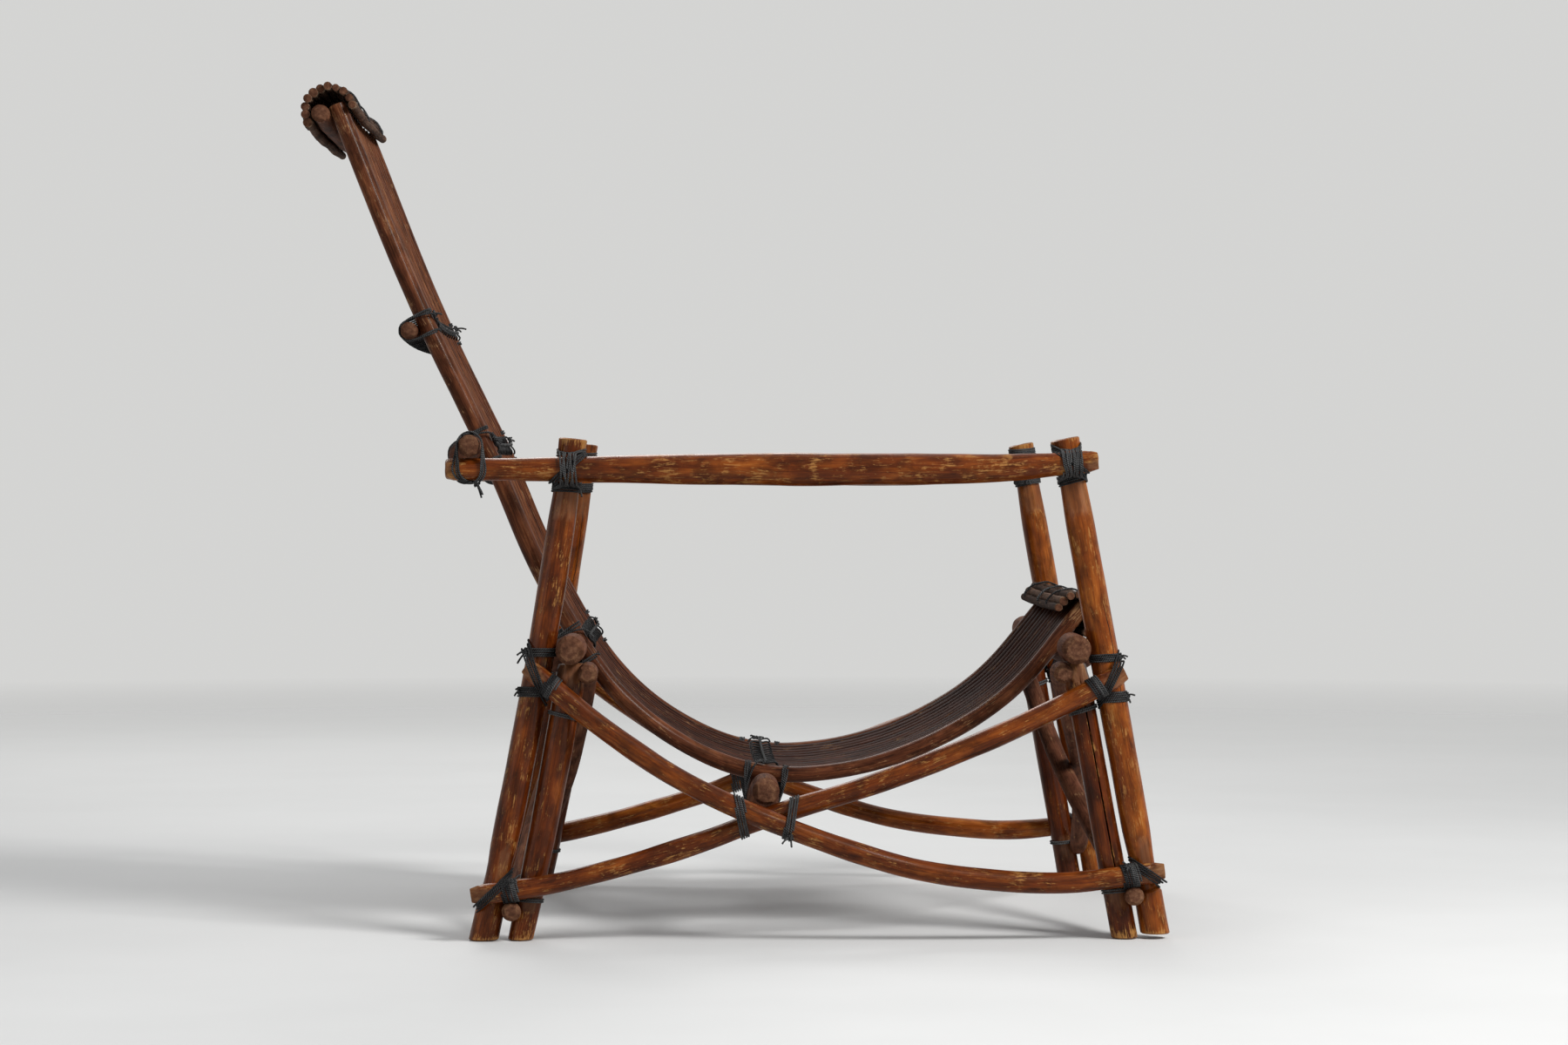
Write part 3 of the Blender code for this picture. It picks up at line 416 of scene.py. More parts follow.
def drying_crack(n, along, angle):
    """A narrow line that wanders along a pole and comes and goes."""
    spot = n.add("CombineXYZ", Z=along).outputs[0]
    wander = n.math("MULTIPLY", n.noise(spot, *CRACK_WANDER), CRACK_SWING)
    off = n.math("SUBTRACT", n.math("SUBTRACT", angle, CRACK_ANGLE), wander)
    line = n.ramp(n.math("ABSOLUTE", off), *CRACK_RAMP)
    return n.math("MULTIPLY", line, n.ramp(n.noise(spot, *CRACK_STRETCHES), *CRACK_STRETCH_RAMP))


def wood(name, tones, cut_tones, worn, coat, roughness, specular, streak=1.0):
    """Varnished round wood: streaks along the grain, clouded varnish, worn spots and rough cut ends."""
    n = Nodes(bpy.data.materials.new(name))
    grain, cut = n.attribute("grain", "Vector"), n.attribute("cut")
    x, y, along = n.add("SeparateXYZ", Vector=grain).outputs
    angle = n.math("ARCTAN2", y, x)
    fine, broad, clouds = (n.noise(grain, *kind) for kind in (FINE_GRAIN, BROAD_GRAIN, CLOUDS))
    fine_share = FINE_SHARE * streak
    level = n.total((fine, fine_share), (broad, BROAD_SHARE), (clouds, CLOUD_SHARE - fine_share),
                    (n.attribute("tone"), 1.0))
    pores = n.ramp(n.noise(grain, *PORES), *PORE_RAMP)
    colour = n.mix(PORE_DEPTH, n.ramp(level, TONE_PLACES, tones), pores, "MULTIPLY")
    colour = n.mix(MOTTLE_DEPTH, colour, n.ramp(n.noise(grain, *MOTTLE), *MOTTLE_RAMP), "MULTIPLY")
    scuff = n.total((n.noise(grain, *SCRATCHES), SCRATCH_SHARE), (n.noise(grain, *SPOTS), SPOT_SHARE),
                    (n.attribute("wear"), WEAR_SHARE))
    scuff = n.ramp(scuff, *SCUFF_RAMP)
    colour = n.mix(n.math("MULTIPLY", scuff, SCUFF_DEPTH), colour, worn)
    crack = drying_crack(n, along, angle)
    colour = n.mix(crack, colour, CRACK_COLOUR)
    out = n.math("SQRT", n.math("ADD", n.math("POWER", x, 2.0), n.math("POWER", y, 2.0)))
    wobble = n.noise(grain, *END_WOBBLE)
    rings = n.math("SINE", n.total((out, RING_RATE), (wobble, RING_WOBBLE)))
    end = n.ramp(n.total((rings, RING_DEPTH), (wobble, 1.0)), CUT_PLACES, cut_tones)
    spoke = n.add("CombineXYZ", X=n.math("MULTIPLY", angle, RAY_RATE), Y=along).outputs[0]
    end = n.mix(n.ramp(n.noise(spoke, *END_RAYS), *RAY_RAMP), end, RAY_COLOUR)
    rough = n.math("ADD", n.math("MULTIPLY", clouds, CLOUD_ROUGHNESS), roughness - CLOUD_ROUGHNESS / 2)
    rougher = n.math("MULTIPLY", n.math("MAXIMUM", scuff, cut), SCUFF_ROUGHNESS)
    normal = n.bump(n.noise(grain, *DENTS), *DENT_BUMP)
    normal = n.bump(n.total((fine, 1.0), (pores, 0.5)), *GRAIN_BUMP, normal)
    normal = n.bump(n.math("MULTIPLY", n.math("MAXIMUM", scuff, crack), -1.0), *SCUFF_BUMP, normal)
    n.shade(Base_Color=n.mix(cut, colour, end), Roughness=n.math("ADD", rough, rougher, clamp=True),
            Normal=normal, Specular_IOR_Level=specular, Specular_Tint=COAT_TINT, Coat_Weight=coat,
            Coat_Roughness=COAT_ROUGHNESS, Coat_Tint=COAT_TINT)
    return n.owner


def twine(name, dark, light, roughness, specular):
    """Twisted twine: strands that wind along the cord, with painted highlights on their crowns and painted
    shade between them, and dust along it.
    """
    n = Nodes(bpy.data.materials.new(name))
    grain = n.attribute("grain", "Vector")
    x, y, along = n.add("SeparateXYZ", Vector=grain).outputs
    # The ply term paints highlights on the crowns of the strands and shade in the grooves between them
    ply = n.math("SINE", n.total((n.math("ARCTAN2", y, x), PLIES), (along, PLY_RATE)))
    fibre = n.noise(grain, *FIBRES)
    level = n.total((ply, PLY_PAINTED_LIGHT_SHARE), (fibre, FIBRE_SHARE), (n.noise(grain, *DUST), DUST_SHARE),
                    (n.attribute("tone"), 1.0))
    middle = tuple(DARK_SHARE * a + (1 - DARK_SHARE) * b for a, b in zip(dark, light))
    n.shade(Base_Color=n.ramp(level, TWINE_PLACES, (dark, middle, light)), Roughness=roughness,
            Specular_IOR_Level=specular, Normal=n.bump(n.math("ADD", ply, fibre), *TWINE_BUMP))
    return n.owner


POLE_TONES = ((0.016, 0.0034, 0.0013), (0.056, 0.0106, 0.0022), (0.120, 0.0258, 0.0040),
              (0.236, 0.0635, 0.0088), (0.430, 0.1640, 0.0300))
BAR_TONES = ((0.020, 0.0080, 0.0056), (0.062, 0.0225, 0.0135), (0.115, 0.0430, 0.0240),
             (0.180, 0.0740, 0.0400), (0.270, 0.1300, 0.0700))
SLAT_TONES = ((0.015, 0.0054, 0.0036), (0.046, 0.0142, 0.0074), (0.094, 0.0292, 0.0135),
              (0.180, 0.0630, 0.0265), (0.330, 0.1500, 0.0700))
STICK_TONES = ((0.018, 0.0098, 0.0070), (0.050, 0.0265, 0.0180), (0.098, 0.0545, 0.0365),
               (0.165, 0.0990, 0.0680), (0.260, 0.1720, 0.1220))
CUT_TONES = ((0.045, 0.0190, 0.0120), (0.105, 0.0460, 0.0270), (0.200, 0.1000, 0.0560))
PALE_CUT_TONES = ((0.075, 0.0290, 0.0130), (0.170, 0.0770, 0.0370), (0.300, 0.1650, 0.0880))
WORN_POLE, WORN_BAR = (0.400, 0.210, 0.062), (0.290, 0.160, 0.080)
WORN_SLAT, WORN_STICK = (0.330, 0.180, 0.085), (0.300, 0.215, 0.140)
DARK_TWINE, DUST_AND_HIGHLIGHT_TWINE = (0.0034, 0.0036, 0.0044), (0.135, 0.134, 0.132)
POLE = wood("varnished_pole", POLE_TONES, PALE_CUT_TONES, WORN_POLE, 0.24, 0.36, 0.10, 0.75)
BAR = wood("worn_bar", BAR_TONES, CUT_TONES, WORN_BAR, 0.0, 0.62, 0.02)
RAIL = wood("varnished_rail", SLAT_TONES, CUT_TONES, WORN_SLAT, 0.08, 0.42, 0.06, 1.25)
SLAT = wood("worn_slat", SLAT_TONES, CUT_TONES, WORN_SLAT, 0.0, 0.50, 0.01, 1.25)
STICK = wood("worn_stick", STICK_TONES, CUT_TONES, WORN_STICK, 0.0, 0.66, 0.01, 1.10)
CORD = twine("dark_twine", DARK_TWINE, DUST_AND_HIGHLIGHT_TWINE, 0.66, 0.12)


# Pieces

SMOOTH_POLE, SMOOTH_SLAT, SMOOTH_CORD = 38.0, 50.0, 60.0


def put(name, data):
    made = bpy.data.objects.new(name, data)
    bpy.context.scene.collection.objects.link(made)
    return made


def piece(name, mesh, slot, *nodes):
    """An object on the chair that stands for the named solids."""
    made = put(name, mesh)
    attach(made, "root")
    if nodes:
        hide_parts(*nodes)
    return made


class Shape:
    """Vertices, faces and shading values collected for one mesh."""

    def __init__(self):
        self.points, self.faces, self.grain = [], [], []
        self.values = {"cut": [], "wear": [], "tone": []}
        self.count = 0

    def take(self, points, faces, grain, cut=0.0, wear=0.0, tone=0.0):
        self.points.append(points + SHIFT_VECTOR)
        self.faces += [tuple(int(i) + self.count for i in face) for face in faces]
        self.grain.append(grain)
        for key, value in (("cut", cut), ("wear", wear), ("tone", tone)):
            self.values[key].append(np.broadcast_to(np.asarray(value, float), (len(points),)))
        self.count += len(points)

    def mesh(self, name, material, sharp):
        made = bpy.data.meshes.new(name)
        made.from_pydata(np.vstack(self.points).tolist(), [], self.faces)
        made.materials.append(material)
        grain = made.attributes.new("grain", "FLOAT_VECTOR", "POINT")
        grain.data.foreach_set("vector", np.vstack(self.grain).astype(np.float32).ravel())
        for key, parts in self.values.items():
            value = made.attributes.new(key, "FLOAT", "POINT")
            value.data.foreach_set("value", np.concatenate(parts).astype(np.float32))
        made.shade_smooth()
        made.set_sharp_from_angle(angle=math.radians(sharp))
        made.update()
        return made


CLOUD_STEPS = (3.17, 1.31, 5.71)


def clouds_at(points, scale, seed):
    offset = Vector([seed * step for step in CLOUD_STEPS])
    return np.array([noise.noise(Vector(point) * scale + offset) for point in points])


def clouds_along(stops, scale, seed):
    return clouds_at(np.column_stack([stops, 0 * stops, 0 * stops]), scale, seed)


def frames_along(points, toward):
    """Tangents, and crosswise units of which the first starts towards a given way."""
    points = np.asarray(points, float)
    tangents = np.gradient(points, axis=0)
    tangents /= np.linalg.norm(tangents, axis=1)[:, None]
    first = []
    last = np.asarray(toward, float)
    for tangent in tangents:
        last = unit(last - tangent * (last @ tangent))
        first.append(last)
    first = np.array(first)
    return tangents, first, np.cross(tangents, first)


def turned(sides):
    return np.linspace(0, 2 * math.pi, sides, endpoint=False)


def ways_round(first, second, angles):
    return first[:, None] * np.cos(angles)[None, :, None] + second[:, None] * np.sin(angles)[None, :, None]


def round_grain(across, along):
    """Grain coordinates of rings: two across the pole and the length along it."""
    across_x, across_y = across
    return np.stack([across_x, across_y, np.repeat(along[:, None], across_x.shape[1], axis=1)], axis=2)


def skin(rings, sides):
    """Faces between the rings of a tube."""
    pairs = [(j, (j + 1) % sides) for j in range(sides)]
    starts = range(0, (rings - 1) * sides, sides)
    return [(i + j, i + k, i + sides + k, i + sides + j) for i in starts for j, k in pairs]


# Rings near a faceted end, and the least distance between rings
FINE_ENDS = np.array([0.0, 0.0014, 0.0028, 0.0044, 0.0062, 0.0082, 0.0105, 0.0130, 0.0160, 0.0200])
LEAST_STEP = 0.0004
# Lumps of a pole: stretch and scale of the small and of the slow ones
LUMPS, SLOW_LUMPS = ((1, 1, 0.35), 55.0), ((0.6, 0.6, 0.5), 17.0)
SLOW_SHARE, SLOW_SEED, END_SEED, GRAIN_STEP = 1.6, 40, 3, 7.31
# Knife cuts: how far round they reach, how deep they show and how bare the wood is there
KNIFE_REACH, KNIFE_MARK, FACET_CUT, SHAVE_CUT, SHAVE_RUN = 0.15, 0.0002, 0.75, 0.55, 0.25
MOST_WEAR, PLANE_FADE, NO_CUT = 1.5, 2.2, 1.0
# End faces: share of the rim and of the dome for the inner rings, unevenness and its scale
CAP_RINGS, CAP_RIM, CAP_RIM_RISE = ((0.62, 0.7), (0.25, 1.0)), 0.9, 0.8
CAP_LUMP, CAP_SCALE = 0.0005, 160.0
SPLIT_HALF, SPLIT_TAPER, SPLIT_PAINTED_SHADE, SPLIT_WEAR = 0.065, 0.035, 0.60, 0.9


def carved(size, cut, angles, flat, angle, where, bare):
    """Sizes and cut marks after a flat has been carved on one side of a pole."""
    limit = flat[:, None] / np.maximum(np.cos(angles - angle), KNIFE_REACH)[None]
    cut = np.where(where & (limit < size - KNIFE_MARK), bare, cut)
    return np.where(where, np.minimum(size, limit), size), cut


def limb(shape, path, radii, toward, seed, sides=22, lump=0.00045, tone=0.0, plane=(None, None), facets=(),
         shaves=(), edge=0.0011, end_wear=0.020, wear=0.0, dome=0.0, split=None):
    """A round natural pole along a path. Its ends lie in planes, and facets and shaves are cut with a knife.

    A facet is (end 0 or 1, angle, depth, reach): a flat that slopes in to the end.
    A shave is (from, to, angle, depth): a flat along the pole, in metres of its length.
    A split is (from, to, angle, depth): an open crack along the grain.
    """
    path, radii = np.asarray(path, float), np.asarray(radii, float)
    along = lengths_along(path)
    length = along[-1]
    if facets:
        finer = np.unique(np.concatenate([along, FINE_ENDS, length - FINE_ENDS]))
        finer = finer[np.concatenate([[True], np.diff(finer) > LEAST_STEP])]
        path = np.column_stack([np.interp(finer, along, column) for column in path.T])
        along, radii = finer, np.interp(finer, along, radii)
    tangents, first, second = frames_along(path, toward)
    angles = turned(sides)
    if split:
        angles = np.sort(np.concatenate([angles, split[2] + SPLIT_HALF * np.array((-1.0, 0.0, 1.0))]))
        sides = len(angles)
    size = np.repeat(radii[:, None], sides, axis=1)
    spots = round_grain((np.cos(angles)[None] * size, np.sin(angles)[None] * size), along)
    rough, slow = (clouds_at((spots * stretch).reshape(-1, 3), scale, seed + more).reshape(size.shape)
                   for (stretch, scale), more in ((LUMPS, 0), (SLOW_LUMPS, SLOW_SEED)))
    size = size + lump * rough + SLOW_SHARE * lump * slow
    cut = np.zeros(size.shape)
    from_end = (along, length - along)
    for end, angle, depth, reach in facets:
        flat = radii[-end] - depth * (1 - from_end[end] / reach)
        size, cut = carved(size, cut, angles, flat, angle, from_end[end][:, None] < reach, FACET_CUT)
    for start, stop, angle, depth in shaves:
        into = np.clip(np.minimum(along - start, stop - along) / (SHAVE_RUN * (stop - start)), 0, 1)
        flat = radii - depth * np.sqrt(into) + (into <= 0) * NO_CUT
        size, cut = carved(size, cut, angles, flat, angle, True, SHAVE_CUT)
    worn = np.exp(-np.minimum(*from_end) / end_wear)[:, None] * np.ones(size.shape) + wear
    shade = np.full(size.shape, tone)
    if split:
        start, stop, angle, depth = split
        apart = np.clip(np.minimum(along - start, stop - along) / SPLIT_TAPER, 0, 1)[:, None]
        inside = np.abs(angles - angle) < 0.5 * SPLIT_HALF
        lips = (np.abs(angles - angle) < 1.5 * SPLIT_HALF) & ~inside
        # Painted shade darkens the inside of the open split
        size = size - inside * depth * apart
        shade = shade - inside * SPLIT_PAINTED_SHADE * apart
        worn = worn + lips * SPLIT_WEAR * apart
    rings = path[:, None] + ways_round(first, second, angles) * size[:, :, None]
    for end, normal in enumerate(plane):
        normal = tangents[-end] if normal is None else unit(normal)
        slide = -((rings[-end] - path[-end]) @ normal) / (tangents[-end] @ normal)
        fade = np.clip(1 - from_end[end] / (PLANE_FADE * radii[-end]), 0, 1)
        rings = rings + tangents[:, None] * (fade[:, None] * slide[None])[:, :, None]
    grain = round_grain((np.cos(angles)[None] * size, np.sin(angles)[None] * size), along + seed * GRAIN_STEP)
    points, grains = [rings.reshape(-1, 3)], [grain.reshape(-1, 3)]
    cuts, wears = [cut.ravel()], [np.clip(worn, 0, MOST_WEAR).ravel()]
    faces = skin(len(path), sides)
    total = len(path) * sides
    for end in (0, 1):
        rim = rings[-end]
        middle = rim.mean(axis=0)
        out = tangents[-1] if end else -tangents[0]
        before = np.arange(sides) + end * (len(path) - 1) * sides
        rises = [(1 - edge / radii[-end], edge * CAP_RIM_RISE)]
        rises += [(share, edge + dome * up) for share, up in CAP_RINGS]
        for share, rise in rises:
            ring = middle + (rim - middle) * share + out * rise
            uneven = clouds_at(ring, CAP_SCALE, seed + END_SEED) * CAP_LUMP * (share < CAP_RIM)
            points.append(ring + out * uneven[:, None])
            grains.append(grain[-end] * (share, share, 1.0))
            cuts.append(np.full(sides, SHAVE_CUT if share > CAP_RIM else 1.0))
            wears.append(np.ones(sides))
            now = total + np.arange(sides)
            quads = zip(np.roll(before, -1), before, now, np.roll(now, -1))
            faces += [quad[::-1] if end else quad for quad in quads]
            before = now
            total += sides
        faces.append(tuple(before if end else before[::-1]))
    shape.take(np.vstack(points), faces, np.vstack(grains), np.concatenate(cuts), np.concatenate(wears),
               np.concatenate([shade.ravel(), np.full(total - shade.size, tone)]))


def pole(name, path, radii, toward, seed, material=POLE, sharp=SMOOTH_POLE, **details):
    shape = Shape()
    limb(shape, path, radii, toward, seed, **details)
    return piece(name + "_pole", shape.mesh(name + "_pole", material, sharp), "pole_wood", name)


# Cord

STRAND_SIDES, STRAND_SPACING = 6, 0.0042
STRAND_TOWARD = unit((0.31, 0.52, 0.79))
SWELL, SWELL_RATE, STRAND_STEP = 0.07, 900, 0.731
CORD_PITCH, CORD_EASE = 0.0026, 1.02
LOOP_STEPS, LOOP_DRIFT, LAYER_RISE, CROSSING_RISE = 24, 0.0006, 1.75, 1.9
TURN_DRIFT, TILT_DRIFT, LASHING_STEPS = 0.0005, 0.3, 4
DIAGONAL = math.sqrt(0.5)


def strand(shape, points, seed, spacing=STRAND_SPACING, tone=0.0):
    """One length of cord along a line, with blunt ends."""
    path = even(points, spacing)
    along = lengths_along(path)
    _, first, second = frames_along(path, STRAND_TOWARD)
    angles = turned(STRAND_SIDES)
    swell = 1 + SWELL * np.sin(along * SWELL_RATE + seed)
    rings = path[:, None] + ways_round(first, second, angles) * (CORD_RADIUS * swell)[:, None, None]
    across = [np.repeat(turn(angles)[None], len(path), 0) for turn in (np.cos, np.sin)]
    grain = round_grain(across, along + seed * STRAND_STEP)
    count = len(path) * STRAND_SIDES
    ends = [range(STRAND_SIDES)[::-1], range(count - STRAND_SIDES, count)]
    shape.take(rings.reshape(-1, 3), skin(len(path), STRAND_SIDES) + ends, grain.reshape(-1, 3), tone=tone)


def loop_point(members, place, axis, way, clear):
    """Where a taut loop in the plane square to the axis leaves its members in a direction."""
    best = None
    for point, run, radius in members:
        across = run @ axis
        centre = point + run * (((place - point) @ axis) / across)
        long_way = run - axis * across
        long_way = unit(long_way) if np.linalg.norm(long_way) > 1e-6 else unit(np.cross(way, axis))
        short_way = np.cross(axis, long_way)
        half_long = radius / abs(across)
        a, b = half_long * (way @ long_way), radius * (way @ short_way)
        size = math.hypot(a, b)
        reach = (centre - place) @ way + size
        if best is None or reach > best[0]:
            best = (reach, centre + (long_way * half_long * a + short_way * radius * b) / size)
    return best[1] + way * clear


def winding(members, axis, turns, seed, layer=0, pitch=CORD_PITCH, shift=0.0):
    """A cord wound round crossing poles in planes square to an axis, with uneven turns."""
    rule = random.Random(seed)
    axis = unit(axis)
    middle = sum(member[0] for member in members) / len(members)
    first = unit(np.cross(axis, X_AXIS + 0.3 * Z_AXIS))
    second = np.cross(axis, first)
    drift = [rule.uniform(-LOOP_DRIFT, LOOP_DRIFT) for _ in range(turns + 2)]
    clear = CORD_RADIUS * (CORD_EASE + LAYER_RISE * layer)
    points = []
    for turn in np.arange(turns * LOOP_STEPS + 1) / LOOP_STEPS:
        wander = np.interp(turn, range(len(drift)), drift)
        place = middle + axis * (pitch * (turn - turns / 2) + wander + shift)
        way = first * math.cos(2 * math.pi * turn) + second * math.sin(2 * math.pi * turn)
        points.append(loop_point(members, place, axis, way, clear))
    return np.array(points)


def square_lashing(over, under, turns, seed, inset=None, pitch=CORD_PITCH, layer=0, slope=0.0):
    """A cord that crosses over one pole beside another and passes under that other one, turn by turn."""
    rule = random.Random(seed)
    (a, along_a, radius_a), (b, along_b, radius_b) = over, under
    up = np.cross(along_a, along_b)
    up = unit(up) * (1 if up @ (a - b) > 0 else -1)
    side = unit(np.cross(up, along_a))
    if side @ along_b < 0:
        side = -side
    clear = CORD_RADIUS * CORD_EASE
    start = radius_b + clear if inset is None else inset
    reach_a, reach_b = radius_a + clear + CROSSING_RISE * CORD_RADIUS * layer, radius_b + clear
    points = []
    for turn in range(turns):
        near = start + pitch * turn + rule.uniform(-TURN_DRIFT, TURN_DRIFT)
        far = radius_a + clear + pitch * turn + rule.uniform(-TURN_DRIFT, TURN_DRIFT)
        tilt = slope * (1 if turn % 2 else -1) + rule.uniform(-TILT_DRIFT, TILT_DRIFT) * slope
        for hand in (1, -1):
            for lift, out in ((1, 0), (DIAGONAL, DIAGONAL), (0, 1)):
                points.append(a - along_a * hand * (near + tilt * out) + up * lift * reach_a
                              + side * hand * out * reach_a)
            for lift, out in ((0, -1), (-DIAGONAL, -DIAGONAL), (-1, 0), (-DIAGONAL, DIAGONAL), (0, 1)):
                points.append(b + along_b * hand * far * np.sign(along_b @ side) + up * lift * reach_b
                              + along_a * hand * out * reach_b)
            for lift, out in ((0, 1), (DIAGONAL, DIAGONAL)):
                points.append(a + along_a * hand * (near - tilt * out) + up * lift * reach_a
                              + side * hand * out * reach_a)
    return smooth_through(points, LASHING_STEPS)


KNOT_SIZE, KNOT_POINTS, KNOT_SPACING, KNOT_TONE = 0.0013, 34, 0.0022, 0.06
TAILS, TAIL_LENGTHS, TAIL_DROOP, TAIL_SPACING, TAIL_TONE = 2, (0.008, 0.017), 0.006, 0.0025, 0.10
TAIL_SWINGS = (1.2, 0.9)


def knot(shape, place, out, seed):
    """A small tight knot with short cut tails."""
    rule = random.Random(seed)
    out = unit(out)
    first = unit(np.cross(out, Z_AXIS + 0.2 * X_AXIS))
    second = np.cross(out, first)
    line = []
    for t in np.linspace(0, 2 * math.pi, KNOT_POINTS):
        u, v = math.sin(t) + 2 * math.sin(2 * t), math.cos(t) - 2 * math.cos(2 * t)
        line.append(place + (first * u + second * v - out * math.sin(3 * t) + out) * KNOT_SIZE)
    strand(shape, line, seed, KNOT_SPACING, KNOT_TONE)
    for tail in range(TAILS):
        swings = [rule.uniform(-most, most) for most in TAIL_SWINGS]
        way = unit(out + first * swings[0] + second * swings[1])
        reach = rule.uniform(*TAIL_LENGTHS)
        line = [place + way * reach * t - Z_AXIS * TAIL_DROOP * t * t for t in np.linspace(0.1, 1, 6)]
        strand(shape, line, seed + tail, TAIL_SPACING, TAIL_TONE)


def cord_piece(name, shape, *nodes):
    return piece(name + "_cord", shape.mesh(name + "_cord", CORD, SMOOTH_CORD), "cord", *nodes)


# Frame

FRONT_LEG_SIZES = ((0.000, 0.0170), (0.047, 0.0168), (0.0525, 0.0167), (0.0560, 0.0139), (0.075, 0.0137),
                   (0.096, 0.0143), (0.125, 0.0160), (0.200, 0.0165), (0.350, 0.0166), (0.470, 0.0163),
                   (0.512, 0.0150), (0.528, 0.0146), (0.546, 0.0157), (0.572, 0.0167))
REAR_LEG_SIZES = ((0.000, 0.0166), (0.044, 0.0163), (0.054, 0.0151), (0.068, 0.0138), (0.086, 0.0139),
                  (0.106, 0.0152), (0.150, 0.0162), (0.300, 0.0163), (0.480, 0.0160), (0.512, 0.0150),
                  (0.528, 0.0147), (0.546, 0.0153), (0.572, 0.0165))
FOOT_EDGE, UPRIGHT_SPACING, POST_TOP_EDGE = 0.0016, 0.007, 0.0012
STEEP_CHANGE, STEEP_MARGIN, STEEP_RINGS = 0.12, 0.002, 7
TO_CAMERA, TO_REAR, LEVEL = (0, -1, 0), (-1, 0, 0), (0, 0, 1)
# Shaves are (from, to, angle, depth), facets (angle, depth, reach)
LEG_SHAVES = ((0.485, 0.530, math.radians(-20), 0.0022), (0.485, 0.530, math.radians(40), 0.0020),
              (0.068, 0.110, math.radians(15), 0.0016))
POST_SHAVES = ((0.030, 0.062, math.radians(5), 0.0035),)
POST_FACETS = ((10, 0.0055, 0.030), (75, 0.0040, 0.030), (-60, 0.0050, 0.030))
ARM_REAR_FACETS = tuple((angle, 0.003, 0.010) for angle in (0, 80, 150, 220, 290))
ARM_FRONT_FACETS = ((20, 0.002, 0.016), (95, 0.004, 0.016), (260, 0.004, 0.016))
STRETCHER_FACETS = ((8, 0.0098, 0.030), (100, 0.0040, 0.014), (-105, 0.0040, 0.018))
BRACE_FACETS = tuple((angle, 0.0040, 0.007) for angle in range(15, 360, 58))
FRONT_POST_SPLIT = (0.070, 0.305, 0.143, 0.0045)
FRONT_LEG_TOP, REAR_LEG_TOP = (-0.20, 0.0, 1.0), (0.10, 0.0, 1.0)
# How much darker or lighter each pole is; on the legs and the stretchers this is painted light and shade: the
# front legs, the far rear leg and the far stretcher lightened, the near rear leg darkened
FRONT_LEG_PAINTED_LIGHT, REAR_LEG_PAINTED_LIGHT_AND_SHADE = 0.085, {"near": -0.02, "far": 0.06}
FRONT_POST_TONE, REAR_POST_TONE, ARM_TONE, BRACE_TONE = -0.05, -0.04, 0.02, 0.02
STRETCHER_PAINTED_LIGHT = {"near": 0.0, "far": 0.09}
LEG_SEEDS, POST_SEED = {"near": 1, "far": 11}, 4
ARM_SEEDS, STRETCHER_SEEDS = {"near": 21, "far": 22}, {"near": 31, "far": 32}
BRACE_SEED, BAR_SEED, BAR_CUT_SEED = 41, 61, 60
POLE_SPACING, BAR_SPACING, ARM_END_EDGE = 0.0075, 0.008, 0.001
STRETCHER_STEPS, BRACE_STEPS, BAR_STEPS = 8, 10, 6
STRETCHER_SWELL, STRETCHER_SWELL_SCALE = 0.05, 22.0
BAR_FACETS, BAR_FACET_ANGLE, BAR_FACET_SWING = 7, 51.4, 14
BAR_FACET_DEPTHS, BAR_FACET_REACHES, BAR_END_EDGE = (0.20, 0.46), (0.006, 0.013), 0.0015


def ends_cut(ends, facets, turn=0.0):
    return [(end, turn + math.radians(angle), depth, reach) for end in ends for angle, depth, reach in facets]


def size_at(stops, z):
    return np.interp(z, *zip(*stops))


def upright_place(axis_x, sign):
    return lambda z: np.array((axis_x(z), sign * track(z), z))


def fine_heights(low, high, stops):
    """Heights an even distance apart, with more of them where the size changes fast."""
    zs = list(np.arange(low, high, UPRIGHT_SPACING)) + [high]
    for (z0, r0), (z1, r1) in zip(stops, stops[1:]):
        if abs(r1 - r0) / (z1 - z0) > STEEP_CHANGE:
            zs += list(np.linspace(z0 - STEEP_MARGIN, z1 + STEEP_MARGIN, STEEP_RINGS))
    zs = sorted(z for z in zs if low <= z <= high)
    return np.array([z for i, z in enumerate(zs) if i == 0 or z - zs[i - 1] > LEAST_STEP])


def make_legs(side, sign):
    # The front legs carry painted light in their tone, the rear legs painted light and shade
    rows = (("front_leg_", front_leg_x, FRONT_LEG_SIZES, FRONT_LEG_LIFT, FRONT_LEG_TOP, FRONT_LEG_PAINTED_LIGHT),
            ("rear_leg_", rear_leg_x, REAR_LEG_SIZES, 0.0, REAR_LEG_TOP, REAR_LEG_PAINTED_LIGHT_AND_SHADE[side]))
    for k, (name, axis_x, stops, foot, top, tone) in enumerate(rows):
        zs = fine_heights(foot + FOOT_EDGE, LEG_HEIGHT, stops)
        path = [upright_place(axis_x, sign)(z) for z in zs]
        pole(name + side, path, size_at(stops, zs), TO_CAMERA, LEG_SEEDS[side] + k, tone=tone,
             shaves=LEG_SHAVES, plane=(LEVEL, top), edge=FOOT_EDGE, end_wear=0.005, wear=0.25)
    top = SEAT_BAR_HEIGHT - SEAT_BAR_END_RADIUS - TOUCH - POST_TOP_EDGE
    zs = np.linspace(FOOT_EDGE, top, int((top - FOOT_EDGE) / UPRIGHT_SPACING) + 1)
    rows = (("front_post_", front_post_x, np.full(len(zs), FRONT_POST_RADIUS), FRONT_POST_TONE),
            ("rear_post_", rear_post_x, rear_post_radius(zs), REAR_POST_TONE))
    for k, (name, axis_x, radii, tone) in enumerate(rows):
        path = [upright_place(axis_x, sign)(z) for z in zs]
        split = FRONT_POST_SPLIT if name + side == "front_post_near" else None
        pole(name + side, path, radii, TO_CAMERA, LEG_SEEDS[side] + POST_SEED + k, tone=tone,
             facets=ends_cut((1,), POST_FACETS), shaves=POST_SHAVES, split=split, plane=(LEVEL, LEVEL),
             edge=FOOT_EDGE, end_wear=0.012)


